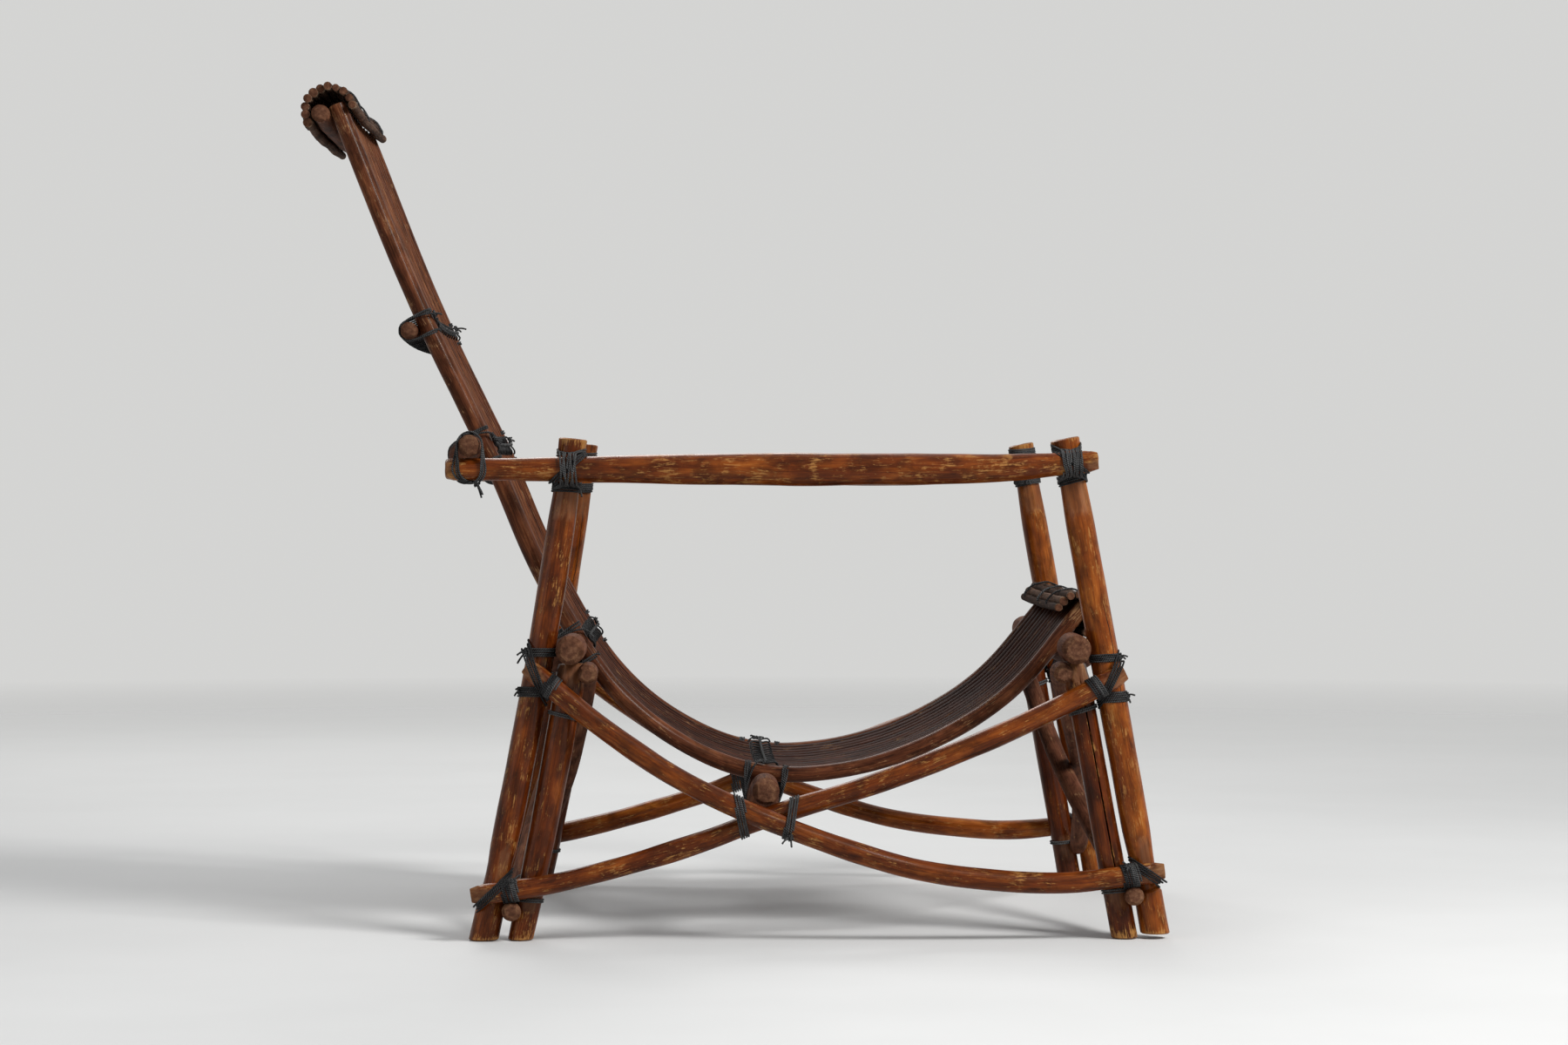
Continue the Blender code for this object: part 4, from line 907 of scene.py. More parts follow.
def make_armrest(side, sign):
    xs = np.arange(ARM_REAR_X + ARM_END_EDGE, ARM_FRONT_X, POLE_SPACING)
    path = [(x, sign * arm_y(x), arm_z(x)) for x in xs]
    facets = ends_cut((0,), ARM_REAR_FACETS) + ends_cut((1,), ARM_FRONT_FACETS)
    pole("armrest_" + side, path, arm_radius(xs), TO_CAMERA, ARM_SEEDS[side], tone=ARM_TONE, facets=facets,
         lump=0.0007, edge=0.0014, end_wear=0.014, wear=0.42)


def make_stretchers(side, sign):
    outer = 0.0 if side == "near" else math.pi
    for k, (name, route) in enumerate((("falling_stretcher_", FALLING), ("rising_stretcher_", RISING))):
        line = even(smooth_through(route, STRETCHER_STEPS), POLE_SPACING)
        path = np.array([(x, sign * stretcher_y(route, x), z) for x, z in line])
        swell = clouds_at(path, STRETCHER_SWELL_SCALE, STRETCHER_SEEDS["near"] + 2 * k)
        # The far stretcher's tone carries painted light
        pole(name + side, path, STRETCHER_RADIUS * (1 + STRETCHER_SWELL * swell), TO_CAMERA,
             STRETCHER_SEEDS[side] + 2 * k, tone=STRETCHER_PAINTED_LIGHT[side],
             facets=ends_cut((0, 1), STRETCHER_FACETS, outer), sides=20, lump=0.0006, edge=0.0010, wear=0.25)


def brace_rows():
    under_bar = SEAT_BAR_HEIGHT - SEAT_BAR_END_RADIUS - BRACE_RADIUS - TOUCH
    rows = []
    for name, leg_x, post_x, post_radius, route, inward in (
            ("front_brace_", front_leg_x, front_post_x, FRONT_POST_RADIUS, FALLING, -1),
            ("rear_brace_", rear_leg_x, rear_post_x, rear_post_radius(under_bar), RISING, 1)):
        top_x = post_x(under_bar) + inward * (post_radius + BRACE_RADIUS - BRACE_LET_IN)
        foot_x = 0.5 * (leg_x(BRACE_FOOT_HEIGHT) + post_x(BRACE_FOOT_HEIGHT))
        steep = math.hypot(1.0, route_slope(route, foot_x))
        foot_z = route_height(route, foot_x) - (STRETCHER_RADIUS + BRACE_RADIUS + TOUCH) * steep
        rows.append((name, (top_x, under_bar), (foot_x, foot_z)))
    return rows


def make_braces():
    for k, (name, top, foot) in enumerate(brace_rows()):
        for side, sign in SIDES.items():
            bow = -sign * (BRACE_RADIUS + TOUCH)
            route = ((top[0], sign * HALF_BRACE_TOP_SPAN, top[1]),
                     (top[0], sign * (HALF_BRACE_TOP_SPAN - BRACE_LEVEL_RUN), top[1]),
                     (0.5 * (top[0] + foot[0]) + bow, 0.0, 0.5 * (top[1] + foot[1])),
                     (foot[0], -sign * (HALF_BRACE_FOOT_SPAN - BRACE_LEVEL_RUN), foot[1]),
                     (foot[0], -sign * HALF_BRACE_FOOT_SPAN, foot[1]))
            path = even(smooth_through(route, BRACE_STEPS), BAR_SPACING)
            radii = np.full(len(path), BRACE_RADIUS)
            pole(name + side, path, radii, TO_REAR, BRACE_SEED + 2 * k + (sign > 0), material=BAR, sides=32,
                 facets=ends_cut((0, 1), BRACE_FACETS), sharp=24.0, lump=0.0005, tone=BRACE_TONE)


def make_crossbars(sling):
    ends = bar_ends()
    past_rail = HALF_RAIL_SPAN + RAIL_RADIUS + BAR_PAST_RAIL
    at_frame = track(LEG_HEIGHT) - max(FRONT_LEG_RADIUS, REAR_LEG_RADIUS) - BAR_BEFORE_LEG
    for k, name in enumerate(sling.stations):
        radius, end_radius = BAR_RADII[name]
        half = [(y, bar_axis(sling, name, y)) for y in np.linspace(0, HALF_RAIL_SPAN, DISH_STEPS + 1)]
        if name in ends:
            half.append((past_rail, bar_axis(sling, name, past_rail)))
            half += [(y, np.array(ends[name])) for y in (at_frame, HALF_BAR_LENGTH - BAR_END_EDGE)]
            stops, sizes = (0, past_rail, at_frame, HALF_BAR_LENGTH), (radius, radius, end_radius, end_radius)
        else:
            half.append((HALF_BACK_BAR_LENGTH - BAR_END_EDGE, bar_axis(sling, name, HALF_RAIL_SPAN)))
            stops, sizes = (0, HALF_BACK_BAR_LENGTH), (radius, radius)
        rows = [(-y, place) for y, place in reversed(half) if y > 0] + half
        route = [(place[0], y, place[1]) for y, place in rows]
        path = even(smooth_through(route, BAR_STEPS), BAR_SPACING)
        rule = random.Random(BAR_CUT_SEED + k)
        facets = []
        for end in (0, 1):
            for step in range(BAR_FACETS):
                angle = step * BAR_FACET_ANGLE + rule.uniform(-BAR_FACET_SWING, BAR_FACET_SWING)
                depth = end_radius * rule.uniform(*BAR_FACET_DEPTHS)
                facets.append((end, math.radians(angle), depth, rule.uniform(*BAR_FACET_REACHES)))
        pole(name + "_crossbar", path, np.interp(np.abs(path[:, 1]), stops, sizes), TO_REAR, BAR_SEED + k,
             material=BAR, facets=facets, sides=44, sharp=22.0, lump=0.0006, dome=0.0006, end_wear=0.010)


# Sling

RAIL_SHARES, RAIL_SIZES = (0, 0.35, 0.6, 1.0), (0.0090, 0.0096, RAIL_RADIUS, RAIL_RADIUS)
RAIL_SEED, RAIL_SPACING = 71, 0.009
# Cross-section of a slat, a split cane: shares of half its width and half its thickness
SLAT_SECTION = np.array(((-1.00, 0.06), (-0.95, -0.28), (-0.84, -0.58), (-0.68, -0.82), (-0.46, -0.96),
                         (-0.22, -1.01), (0.00, -1.03), (0.22, -1.01), (0.46, -0.96), (0.68, -0.82),
                         (0.84, -0.58), (0.95, -0.28), (1.00, 0.06), (0.94, 0.40), (0.80, 0.70), (0.56, 0.93),
                         (0.26, 1.00), (-0.26, 1.00), (-0.56, 0.93), (-0.80, 0.70), (-0.94, 0.40)))
# Shares of the sling's length, from the front, and how much darker or lighter the slats are there: painted
# shade on the seat, painted light on the back
SLAT_PAINTED_SHADE_AND_LIGHT = ((0.0, 0.40, 0.60, 1.0), (-0.120, -0.105, 0.050, 0.080))
SLAT_RINGS, SLAT_SEED, SLAT_WIDTH_SEED, SLAT_STEP, SLAT_TONE = 118, 80, 95, 5.3, 0.05
SLAT_SWAY, SLAT_SWAY_SCALE, SLAT_SWELL, SLAT_SWELL_SCALE = 0.0011, 7.0, 0.05, 9.0
SLAT_LUMP, SLAT_LUMP_SCALE, SLAT_LUMP_STRETCH = 0.00035, 60.0, (0.02, 0.004, 0.35)
SLAT_WORN_EDGE, SLAT_EDGE_WEAR, SLAT_GRAIN_DEPTH = 0.85, 0.5, 0.02


def make_rails(sling):
    for side, sign in SIDES.items():
        path = np.array([(x, sign * HALF_RAIL_SPAN, z) for x, z in even(sling.line, RAIL_SPACING)])
        radii = np.interp(lengths_along(path), [share * sling.length for share in RAIL_SHARES], RAIL_SIZES)
        pole("side_rail_" + side, path, radii, TO_CAMERA, RAIL_SEED + (sign > 0), material=RAIL, sides=16,
             lump=0.0004, wear=0.10)


def slat_depth(y):
    """How far a slat's middle lies behind the rails' axis, so that its edge rests on the bars."""
    return RAIL_RADIUS + min(dish(y - SLAT_WIDTH / 2), dish(y + SLAT_WIDTH / 2)) - SLAT_THICKNESS / 2


def slat_ys():
    return [(k - (SLAT_COUNT - 1) / 2) * SLAT_PITCH for k in range(SLAT_COUNT)]


def make_slats(sling):
    stops = np.linspace(0, sling.length, SLAT_RINGS)
    across, deep = SLAT_SECTION.T
    deep = deep * 0.5 * SLAT_THICKNESS
    count = len(across)
    faces = [(b, a, d, c) for a, b, c, d in skin(SLAT_RINGS, count)]
    faces += [range(count), range((SLAT_RINGS - 1) * count, SLAT_RINGS * count)[::-1]]
    for number, y in enumerate(slat_ys(), 1):
        name = "slat_%02d" % number
        sway = SLAT_SWAY * clouds_along(stops, SLAT_SWAY_SCALE, SLAT_SEED + number)
        swell = 1 + SLAT_SWELL * clouds_along(stops, SLAT_SWELL_SCALE, SLAT_WIDTH_SEED + number)
        points, grain = [], []
        for stop, shift, wide in zip(stops, sway, 0.5 * SLAT_WIDTH * swell):
            spots = np.column_stack([SLAT_SECTION, np.full(count, stop)]) * SLAT_LUMP_STRETCH
            depth = slat_depth(y) + deep + SLAT_LUMP * clouds_at(spots, SLAT_LUMP_SCALE, number)
            x, z = sling.place(stop)[:, None] + sling.behind(stop)[:, None] * depth
            points.append(np.column_stack([x, y + shift + across * wide, z]))
            grain.append(np.column_stack([across * wide, deep + SLAT_GRAIN_DEPTH,
                                          np.full(count, stop + number * SLAT_STEP)]))
        shape = Shape()
        wear = np.tile(np.where(np.abs(across) > SLAT_WORN_EDGE, SLAT_EDGE_WEAR, 0.0), SLAT_RINGS)
        tone = random.Random(SLAT_SEED + number).uniform(-SLAT_TONE, SLAT_TONE)
        # Painted shade darkens the seat part of each slat and painted light lightens its back part
        tone = tone + np.repeat(np.interp(stops / sling.length, *SLAT_PAINTED_SHADE_AND_LIGHT), count)
        shape.take(np.vstack(points), faces, np.vstack(grain), wear=wear, tone=tone)
        piece(name + "_cane", shape.mesh(name + "_cane", SLAT, SMOOTH_SLAT), "slat_wood", name)


# Where the rolls are tied: distance across the chair and slant
HEAD_TIES = ((-0.165, 0.004), (-0.020, -0.010), (0.185, 0.006))
FRONT_TIES = ((-0.130, -0.030), (0.030, 0.008), (0.175, -0.012))
STICK_RINGS, STICK_FULLNESS, STICK_SWAY, STICK_SWAY_SCALE = 44, 0.52, 0.0011, 14.0
STICK_STARTS, STICK_STOPS, STICK_LIFTS = (-0.006, 0.004), (-0.004, 0.006), (-0.0002, 0.0012)
STICK_SIZES, STICK_SHADES, MORE_HEAD_STICKS = (0.90, 1.10), (-0.13, 0.09), 2
TIE_REACH, TIE_POINTS, TIE_FAN, TIE_EASE, TIE_RIPPLE, TIE_SHADES = 1.06, 30, 0.4, 1.12, 0.0004, (-0.05, 0.14)
TUCK, TUCK_FROM, TUCK_RUN = 0.0085, 0.97, 0.09
HEAD_SEED, FRONT_SEED = 120, 140


def make_roll(name, middle_of, forward, backward, count, radius, reach, ties, seed):
    """A row of thin sticks along an arc, each a little uneven, with cords over them."""
    shape, cords, rule = Shape(), Shape(), random.Random(seed)
    thick = STICK_FULLNESS * radius * 2 * reach / (count - 1)

    def way_at(angle):
        return math.cos(angle) * forward + math.sin(angle) * backward

    def place_at(angle, y, out):
        x, z = middle_of(y) + way_at(angle) * out
        return x, y, z

    for number, angle in enumerate(np.linspace(-reach, reach, count)):
        start, stop = rule.uniform(*STICK_STARTS), rule.uniform(*STICK_STOPS)
        spread = np.linspace(-HALF_ROLL_LENGTH + start, HALF_ROLL_LENGTH + stop, STICK_RINGS)
        lift = rule.uniform(*STICK_LIFTS) + STICK_SWAY * clouds_along(spread, STICK_SWAY_SCALE, seed + number)
        path = [place_at(angle, y, radius + shift) for y, shift in zip(spread, lift)]
        size = thick * rule.uniform(*STICK_SIZES)
        x, z = way_at(angle)
        limb(shape, path, np.full(STICK_RINGS, size), (x, 0, z), seed + number, sides=12, lump=0.0004,
             tone=rule.uniform(*STICK_SHADES), edge=0.0006, end_wear=0.010)
    piece(name + "_sticks", shape.mesh(name + "_sticks", STICK, SMOOTH_POLE), "stick_wood", name)
    outer = radius + TIE_EASE * STICK_RADIUS + CORD_RADIUS
    for number, (middle, slant) in enumerate(ties):
        for offset in (-CORD_PITCH, 0.0, CORD_PITCH):
            line = []
            for share in np.linspace(-TIE_REACH, TIE_REACH, TIE_POINTS):
                y = middle + offset * (1 + TIE_FAN * share) + slant * share
                tuck = TUCK * max(0.0, (abs(share) - TUCK_FROM) / TUCK_RUN)
                ripple = TIE_RIPPLE * math.cos(share * reach * count)
                line.append(place_at(share * reach, y, outer - tuck + ripple))
            strand(cords, line, seed + number, tone=rule.uniform(*TIE_SHADES))
    cord_piece(name, cords)


def make_rolls(sling):
    station = sling.stations["head"]
    forward, backward = sling.along(station), sling.behind(station)
    between = 0.5 * (RAIL_RADIUS + BACK_BAR_RADIUS + TOUCH)
    clear = math.hypot(between + RAIL_RADIUS, HEAD_BAR_DROP) + TOUCH
    radius = clear / math.cos(HEAD_ROLL_REACH / (HEAD_STICKS - 1)) + STICK_RADIUS
    make_roll("head_roll", lambda y: sling.place(station) + backward * (between + dish(y)), forward, backward,
              HEAD_STICKS + MORE_HEAD_STICKS, radius, HEAD_ROLL_REACH, HEAD_TIES, HEAD_SEED)
    out, down = -sling.along(0.0), sling.behind(0.0)
    reach_in = math.sqrt((FRONT_ROLL_RADIUS - STICK_RADIUS - TOUCH) ** 2 - RAIL_RADIUS ** 2)
    make_roll("front_roll", lambda y: sling.place(0.0) - out * reach_in + down * dish(y), out, down,
              FRONT_STICKS, FRONT_ROLL_RADIUS, FRONT_ROLL_REACH, FRONT_TIES, FRONT_SEED)


# Lashings

# For each end of the chair: the leg's axis and radius, then the post's
UPRIGHTS = {"front": (front_leg_x, lambda z: size_at(FRONT_LEG_SIZES, z),
                      front_post_x, lambda z: FRONT_POST_RADIUS),
            "rear": (rear_leg_x, lambda z: size_at(REAR_LEG_SIZES, z), rear_post_x, rear_post_radius)}
# Corner lashings: name, stretcher, end of the chair, way the stretcher runs up, way to the post, wraps and
# bands round the leg, each with its height above the crossing and its turns
CORNERS = (("front_lower_lashing_", FALLING, "front", 1, -1, 8, ()),
           ("rear_lower_lashing_", RISING, "rear", -1, 1, 8, ()),
           ("front_upper_lashing_", RISING, "front", -1, -1, 6, ((0.024, 4), (-0.021, 5))),
           ("rear_upper_lashing_", FALLING, "rear", 1, 1, 6, ((0.024, 4), (-0.021, 5))))
WRAP_PITCH, WRAP_START, WRAP_TILT, WRAP_TONES = 0.0024, 0.0092, 0.12, (-0.06, 0.10)
CORNER_TURNS, CORNER_TONE = 4, -0.06
BAND_PITCH, BAND_TILT, BAND_TONE = 0.0025, 0.14, 0.04
POST_BAND_DROP, POST_BAND_TURNS, POST_BAND_TILT, POST_BAND_TONE = 0.0170, 2, -0.10, 0.16
# Lashings of the armrest to the legs: end of the chair, slant, turns, slope of the turns
ARM_LASHINGS = (("front", 1, 5, 0.0005), ("rear", -1, 4, 0.0026))
ARM_TURNS, ARM_INSET, ARM_PITCH, ARM_TONES = 3, 0.0013, 0.0023, (-0.04, 0.09)
ARM_BAND_TURNS, ARM_BAND_TILT, ARM_BAND_DROP = 4, 0.05, 0.0065
# Lashing of the armrest to the rear arm crossbar: slant and tone of each layer
ARM_BAR_LAYERS, ARM_BAR_KNOT = ((1, 0.05), (-1, 0.09)), (0.008, 0.0, -0.003)
CROSSING_BESIDE, CROSSING_SLANT, CROSSING_TURNS, CROSSING_PITCH = LOW_BAR_RADIUS + 0.0085, 0.20, 4, 0.0027
CROSSING_TONES, CROSSING_KNOT_DROP = (0.06, 0.11), 0.008
LASHING_SEEDS = {"near": 200, "far": 300}


def arm_place(sign):
    return lambda x: np.array((x, sign * arm_y(x), arm_z(x)))


def stretcher_place(route, sign):
    return lambda x: np.array((x, sign * stretcher_y(route, x), route_height(route, x)))


def member(place_at, at, radius):
    """A pole at one place: a point on its axis, the way it runs and its radius."""
    low, high = place_at(at - PROBE), place_at(at + PROBE)
    return (low + high) / 2, unit(high - low), float(radius)


def band(shape, held, turns, seed, tilt, tone=0.0):
    """Turns of cord round one pole, slightly off level."""
    strand(shape, winding((held,), held[1] - tilt * X_AXIS, turns, seed, 0, BAND_PITCH), seed, tone=tone)


def knot_on(shape, held, way, seed):
    """A knot on the skin of a bound pole."""
    way = unit(np.array(way))
    knot(shape, held[0] + way * (held[2] + CORD_RADIUS), way, seed)


def make_corner_lashing(side, sign, corner, seed):
    """Turns round leg and stretcher, wraps on the stretcher beside the leg, and bands round leg and post."""
    name, route, end, slant, inward, wraps, bands = corner
    leg_x, leg_size, post_x, post_size = UPRIGHTS[end]
    on_leg, on_stretcher = upright_place(leg_x, sign), stretcher_place(route, sign)
    shape = Shape()
    z = leg_crossing(route, leg_x)
    leg = member(on_leg, z, leg_size(z))
    stretcher = member(on_stretcher, leg_x(z), STRETCHER_RADIUS)
    line = winding((leg, stretcher), stretcher[1] * slant + leg[1], CORNER_TURNS, seed)
    strand(shape, line, seed, tone=CORNER_TONE)
    beside = member(on_stretcher, leg_x(z) + inward * (WRAP_START + wraps * WRAP_PITCH / 2), STRETCHER_RADIUS)
    for number, tone in enumerate(WRAP_TONES):
        turns = wraps // 2
        line = winding((beside,), beside[1] + WRAP_TILT * Z_AXIS, turns, seed + 1 + number, 0, WRAP_PITCH,
                       (number - 0.5) * turns * WRAP_PITCH)
        strand(shape, line, seed + 1 + number, tone=tone)
    if not bands:
        knot_on(shape, beside, (0.3 * inward, 0.55 * sign, 0.8), seed + 8)
    for number, (rise, turns) in enumerate(bands):
        held = member(on_leg, z + rise, leg_size(z + rise))
        band(shape, held, turns, seed + 2 + number, BAND_TILT * slant, BAND_TONE)
        knot_on(shape, held, (-inward, 0.45 * sign, 0.1), seed + 4 + number)
    post_z = route_height(route, post_x(z)) - POST_BAND_DROP
    post = member(upright_place(post_x, sign), post_z, post_size(post_z))
    band(shape, post, POST_BAND_TURNS, seed + 6, POST_BAND_TILT * slant, POST_BAND_TONE)
    cord_piece(name + side, shape, name + side)


def make_arm_lashings(side, sign, seed):
    for number, (end, slant, turns, slope) in enumerate(ARM_LASHINGS):
        name = "arm_" + end + "_lashing_" + side
        leg_x, leg_size = UPRIGHTS[end][:2]
        on_leg, shape = upright_place(leg_x, sign), Shape()
        z = arm_z(leg_x(ARM_HEIGHT))
        leg = member(on_leg, z, leg_size(z))
        arm = member(arm_place(sign), leg_x(z), arm_radius(leg_x(z)))
        line = winding((leg, arm), arm[1] * slant + leg[1], ARM_TURNS, seed + number)
        strand(shape, line, seed + number, tone=ARM_TONES[0])
        line = square_lashing(arm, leg, turns, seed + 2 + number, ARM_INSET, ARM_PITCH, 1, slope)
        strand(shape, line, seed + 2 + number, tone=ARM_TONES[1])
        low_z = z - arm[2] - ARM_BAND_DROP
        low = member(on_leg, low_z, leg_size(low_z))
        band(shape, low, ARM_BAND_TURNS, seed + 4 + number, ARM_BAND_TILT)
        knot_on(shape, low, -sign * Y_AXIS, seed + 6 + number)
        cord_piece(name, shape, name)
    name, shape = "arm_bar_lashing_" + side, Shape()
    arm = member(arm_place(sign), ARM_BAR_X, arm_radius(ARM_BAR_X))
    bar = (np.array((ARM_BAR_X, arm[0][1], bar_ends()["rear_arm"][1])), Y_AXIS * sign, ARM_BAR_END_RADIUS)
    for layer, (slant, tone) in enumerate(ARM_BAR_LAYERS):
        line = winding((arm, bar), arm[1] + slant * bar[1], ARM_TURNS, seed + 10 + layer, layer, WRAP_PITCH)
        strand(shape, line, seed + 10 + layer, tone=tone)
    knot(shape, arm[0] + ARM_BAR_KNOT - arm[2] * Z_AXIS, (0.5, 0.2 * sign, -1.0), seed + 12)
    cord_piece(name, shape, name)


def make_crossing_lashing(side, sign, seed):
    """Slanting wraps round both stretchers on either side of the low crossbar's end."""
    name, shape, x = "crossing_lashing_" + side, Shape(), stretcher_crossing()[0]
    places = [stretcher_place(route, sign) for route in (FALLING, RISING)]
    for number, (way, tone) in enumerate(zip((1, -1), CROSSING_TONES)):
        pair = [member(place_at, x + way * CROSSING_BESIDE, STRETCHER_RADIUS) for place_at in places]
        line = winding(pair, X_AXIS - CROSSING_SLANT * way * Z_AXIS, CROSSING_TURNS, seed + number, 0,
                       CROSSING_PITCH)
        strand(shape, line, seed + number, tone=tone)
    low = member(places[0], x + CROSSING_BESIDE, STRETCHER_RADIUS)
    out = sign * Y_AXIS
    place = low[0] + out * (low[2] + CORD_RADIUS) - CROSSING_KNOT_DROP * Z_AXIS
    knot(shape, place, out - 0.6 * Z_AXIS, seed + 2)
    cord_piece(name, shape, name)


def make_frame_lashings(side, sign):
    seed = LASHING_SEEDS[side]
    for number, corner in enumerate(CORNERS):
        make_corner_lashing(side, sign, corner, seed + 10 * number)
    make_arm_lashings(side, sign, seed + 50)
    make_crossing_lashing(side, sign, seed + 70)


SEIZING_EASE, SEIZING_SHOULDER, SEIZING_DRIFT = 1.03, 0.62, 0.0004
TWIST_LENGTH, TWIST_RADIUS, TWIST_STEPS, TWIST_LIFT, TWIST_SPACING = 0.0095, 0.0010, 8, 2.6, 0.0026
TWIST_TONES, RAIL_TIE_TONE, RAIL_KNOT_RISE = (0.03, 0.08), 0.03, 0.006
# Crossbars that are bound to the sling, and the turns round each rail there
SEIZINGS = {"back_middle": 2, "rear_arm": 2, "rear_seat": 2, "low_middle": 3}
SEIZING_SEED, SEIZING_SEED_STEP = 400, 20


def make_seizing(sling, name, turns, seed):
    """Cord that binds the rails and every slat to a crossbar, and a twisted pair that lies over them."""
    shape, rule, ys = Shape(), random.Random(seed), slat_ys()
    station, radius = sling.stations[name], BAR_RADII[name][0]
    here, up, back = sling.place(station), sling.along(station), sling.behind(station)
    reach = (radius + CORD_RADIUS) * SEIZING_EASE
    outside = HALF_RAIL_SPAN + RAIL_RADIUS + SLAT_GAP / 2
    gaps = [-outside, *[y - SLAT_PITCH / 2 for y in ys], ys[-1] + SLAT_PITCH / 2, outside]
    fronts = [-RAIL_RADIUS, *[slat_depth(y) - SLAT_THICKNESS / 2 for y in ys], -RAIL_RADIUS]
    rise = max(-float((sling.place(station + shift) - here) @ back) for shift in (-reach, reach))
    points = []
    for last, this, front in zip(gaps, gaps[1:], fronts):
        low = front - CORD_RADIUS - TOUCH
        high = low - SEIZING_SHOULDER ** 2 * rise
        turn = ((last, 0, 1, None), (last, DIAGONAL, DIAGONAL, None), (last, 1, 0, None),
                (last, SEIZING_SHOULDER, 0, high), (0.5 * (last + this), 0, 0, low),
                (this, -SEIZING_SHOULDER, 0, high), (this, -1, 0, None), (this, -DIAGONAL, DIAGONAL, None))
        for y, along, away, level in turn:
            if level is None:
                place = bar_axis(sling, name, y) + (up * along + back * away) * reach
            else:
                place = here + up * along * reach + back * level
            points.append((place[0], y + rule.uniform(-SEIZING_DRIFT, SEIZING_DRIFT), place[1]))
    strand(shape, smooth_through(points, LASHING_STEPS), seed)
    stops = [-HALF_RAIL_SPAN, *ys, HALF_RAIL_SPAN]
    for ply, tone in enumerate(TWIST_TONES):
        line = []
        for y in np.arange(-HALF_RAIL_SPAN, HALF_RAIL_SPAN, TWIST_LENGTH / TWIST_STEPS):
            turn = 2 * math.pi * y / TWIST_LENGTH + ply * math.pi
            level = np.interp(y, stops, fronts) - TWIST_LIFT * CORD_RADIUS - TWIST_RADIUS * math.cos(turn)
            place = here + up * TWIST_RADIUS * math.sin(turn) + back * level
            line.append((place[0], y, place[1]))
        strand(shape, line, seed + 1 + ply, TWIST_SPACING, tone)
    run, axis = np.array((up[0], 0.0, up[1])), bar_axis(sling, name, HALF_RAIL_SPAN)
    for sign in (-1, 1):
        rail = (np.array((here[0], sign * HALF_RAIL_SPAN, here[1])), run, RAIL_RADIUS)
        bar = (np.array((axis[0], sign * HALF_RAIL_SPAN, axis[1])), Y_AXIS, radius)
        strand(shape, square_lashing(rail, bar, turns, seed + 5 + sign), seed + 5 + sign, tone=RAIL_TIE_TONE)
        out = unit(np.array((-back[0], 0.3 * sign, -back[1])))
        place = rail[0] + out * (RAIL_RADIUS + 2 * CORD_RADIUS) + run * RAIL_KNOT_RISE
        knot(shape, place, out, seed + 7 + sign)
    cord_piece(name + "_seizing", shape, name + "_seizing")


# The chair

SLING_LINE = Sling()
for side_row in SIDES.items():
    for make in (make_legs, make_armrest, make_stretchers, make_frame_lashings):
        make(*side_row)
make_braces()
for make in (make_crossbars, make_rails, make_slats, make_rolls):
    make(SLING_LINE)
for order, (bar_name, rail_turns) in enumerate(SEIZINGS.items()):
    make_seizing(SLING_LINE, bar_name, rail_turns, SEIZING_SEED + SEIZING_SEED_STEP * order)


# Camera, floor and light

CAMERA_YAW = math.radians(1.5)
CAMERA_DISTANCE, CAMERA_HEIGHT = 4.8, 0.517
FOCAL_PIXELS, HORIZON_BELOW_TOP = 4500.0, 560.0
IMAGE_WIDTH, IMAGE_HEIGHT = 1800.0, 1200.0
SENSOR, FARTHEST = 36.0, 200.0
FLOOR_HALF, FLOOR_DROP, FLOOR_ROUGHNESS, FLOOR_SPECULAR = 30.0, 0.0004, 0.70, 0.20
FLOOR_CLOUDS = ((1, 1, 1), 0.9, 4.0, 0.6)
FLOOR_RAMP = ((0.3, 0.7), ((0.66, 0.66, 0.65), (0.72, 0.72, 0.71)))
FADE_DISTANCE, FADE_RAMP = 8.0, ((0.14, 0.75), (0.0, 1.0))
SKY, SKY_STRENGTH, BACKGROUND = (0.95, 0.97, 1.0, 1.0), 0.32, (0.66, 0.66, 0.65, 1.0)
SEEN_BY = ("Is Camera Ray", "Is Glossy Ray", "Is Transmission Ray")
# Lamps: name, place, target, size, watts
LAMPS = (("key", (2.6, -2.4, 3.0), (0.0, 0.0, 0.4), 1.3, 185.0),
         ("fill", (-3.0, -2.2, 1.8), (0.0, 0.0, 0.4), 2.6, 16.0),
         ("back", (-0.6, 3.2, 2.8), (0.0, 0.0, 0.5), 2.0, 62.0))


def aim(thing, way):
    thing.rotation_mode = "QUATERNION"
    thing.rotation_quaternion = Vector(way).to_track_quat("-Z", "Y")


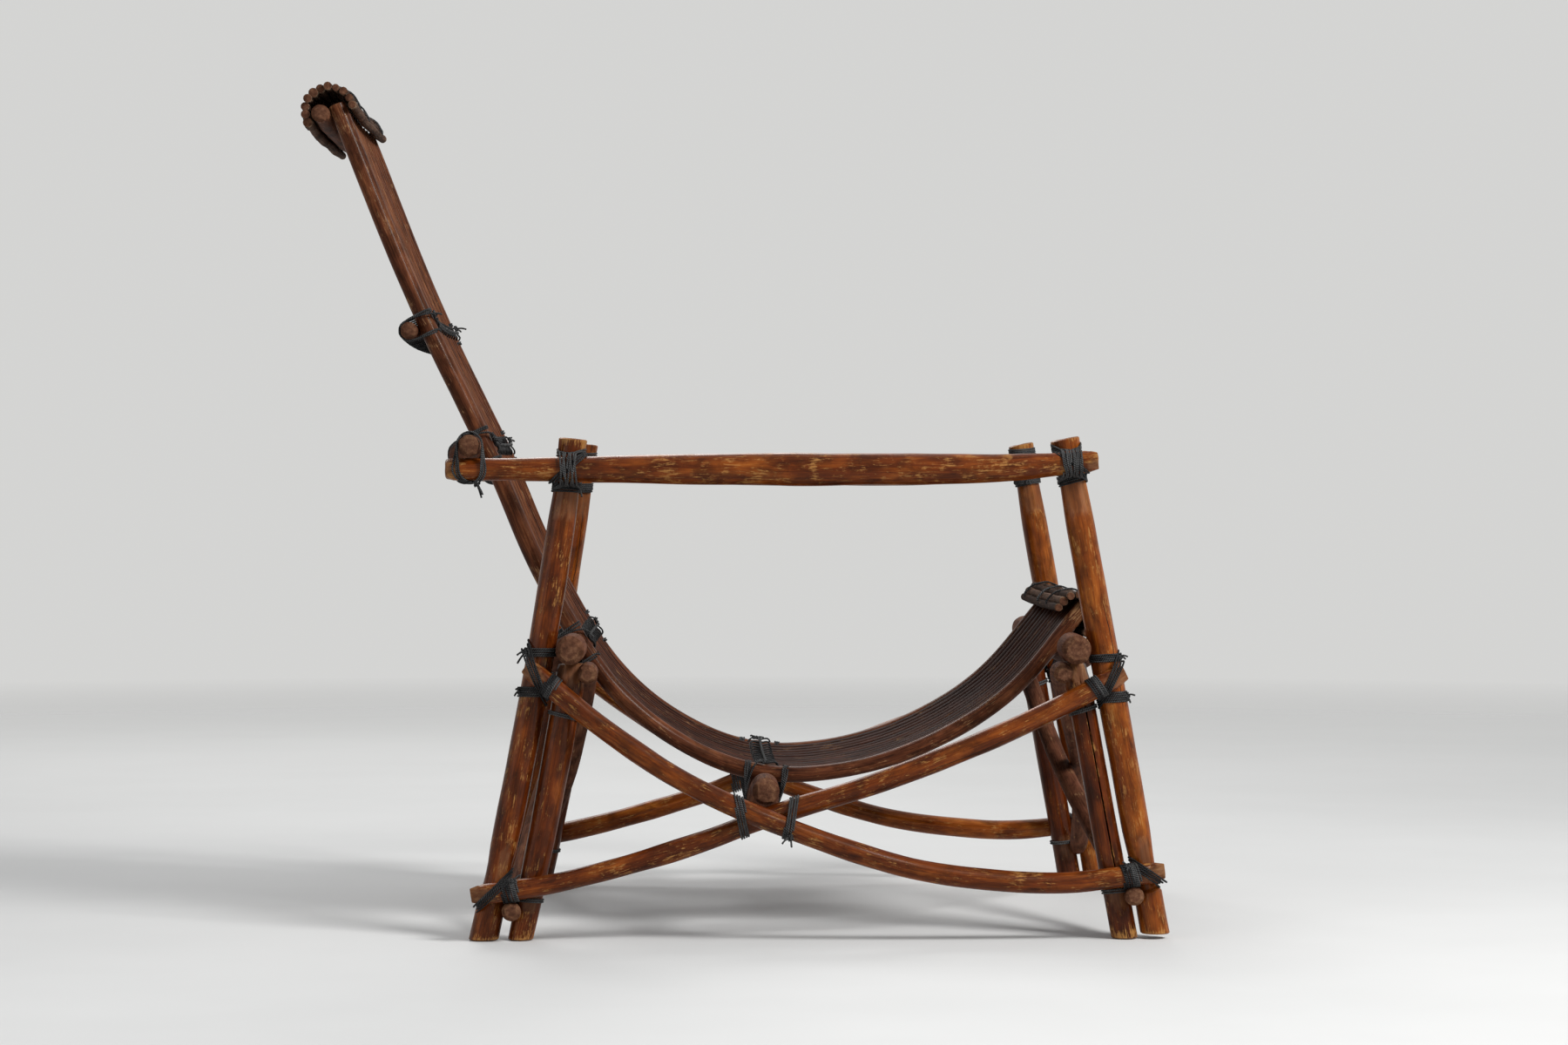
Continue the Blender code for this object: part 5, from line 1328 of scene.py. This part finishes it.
def make_camera():
    data = bpy.data.cameras.new("photo_view")
    data.sensor_width = SENSOR
    data.lens = SENSOR * FOCAL_PIXELS / IMAGE_WIDTH
    data.clip_end = FARTHEST
    camera = put("photo_view", data)
    x, y = math.sin(CAMERA_YAW), math.cos(CAMERA_YAW)
    camera.location = (SHIFT - CAMERA_DISTANCE * x, -CAMERA_DISTANCE * y, CAMERA_HEIGHT)
    aim(camera, (x, y, -(IMAGE_HEIGHT / 2 - HORIZON_BELOW_TOP) / FOCAL_PIXELS))
    bpy.context.scene.camera = camera


def make_floor():
    """A pale floor that fades into the background far from the chair."""
    mesh = bpy.data.meshes.new("floor")
    corners = [(x * FLOOR_HALF, y * FLOOR_HALF, 0) for x, y in ((-1, -1), (1, -1), (1, 1), (-1, 1))]
    mesh.from_pydata(corners, [], [(0, 1, 2, 3)])
    n = Nodes(bpy.data.materials.new("floor_paint"))
    place = n.add("NewGeometry").outputs["Position"]
    paint = n.shade(Base_Color=n.ramp(n.noise(place, *FLOOR_CLOUDS), *FLOOR_RAMP), Roughness=FLOOR_ROUGHNESS,
                    Specular_IOR_Level=FLOOR_SPECULAR)
    far = n.add("VectorMath", {"operation": "LENGTH"})
    n.feed(far.inputs[0], place)
    fade = n.ramp(n.math("DIVIDE", far.outputs["Value"], FADE_DISTANCE), *FADE_RAMP)
    mixed = n.fill(n.add("MixShader"), fade, paint, n.add("BsdfTransparent").outputs[0])
    n.feed(n.tree.nodes["Material Output"].inputs["Surface"], mixed)
    mesh.materials.append(n.owner)
    floor = put("floor", mesh)
    floor.location.z = -FLOOR_DROP


def make_lamp(name, place, target, size, watts):
    data = bpy.data.lights.new(name, "AREA")
    data.shape = "SQUARE"
    data.size = size
    data.energy = watts
    lamp = put(name, data)
    lamp.location = place
    aim(lamp, Vector(target) - Vector(place))


def make_world():
    """Soft light from all round; the camera and reflections see a plain pale background."""
    world = bpy.data.worlds.new("studio")
    bpy.context.scene.world = world
    n = Nodes(world)
    light = n.fill(n.tree.nodes["Background"], SKY, SKY_STRENGTH)
    seen = n.add("Background", Color=BACKGROUND, Strength=1.0).outputs[0]
    rays = n.add("LightPath").outputs
    share = functools.reduce(lambda a, b: n.math("MAXIMUM", a, b), [rays[kind] for kind in SEEN_BY])
    n.feed(n.tree.nodes["World Output"].inputs["Surface"], n.fill(n.add("MixShader"), share, light, seen))


make_camera()
make_floor()
make_world()
for lamp_row in LAMPS:
    make_lamp(*lamp_row)
bpy.context.scene.view_settings.view_transform = "Standard"
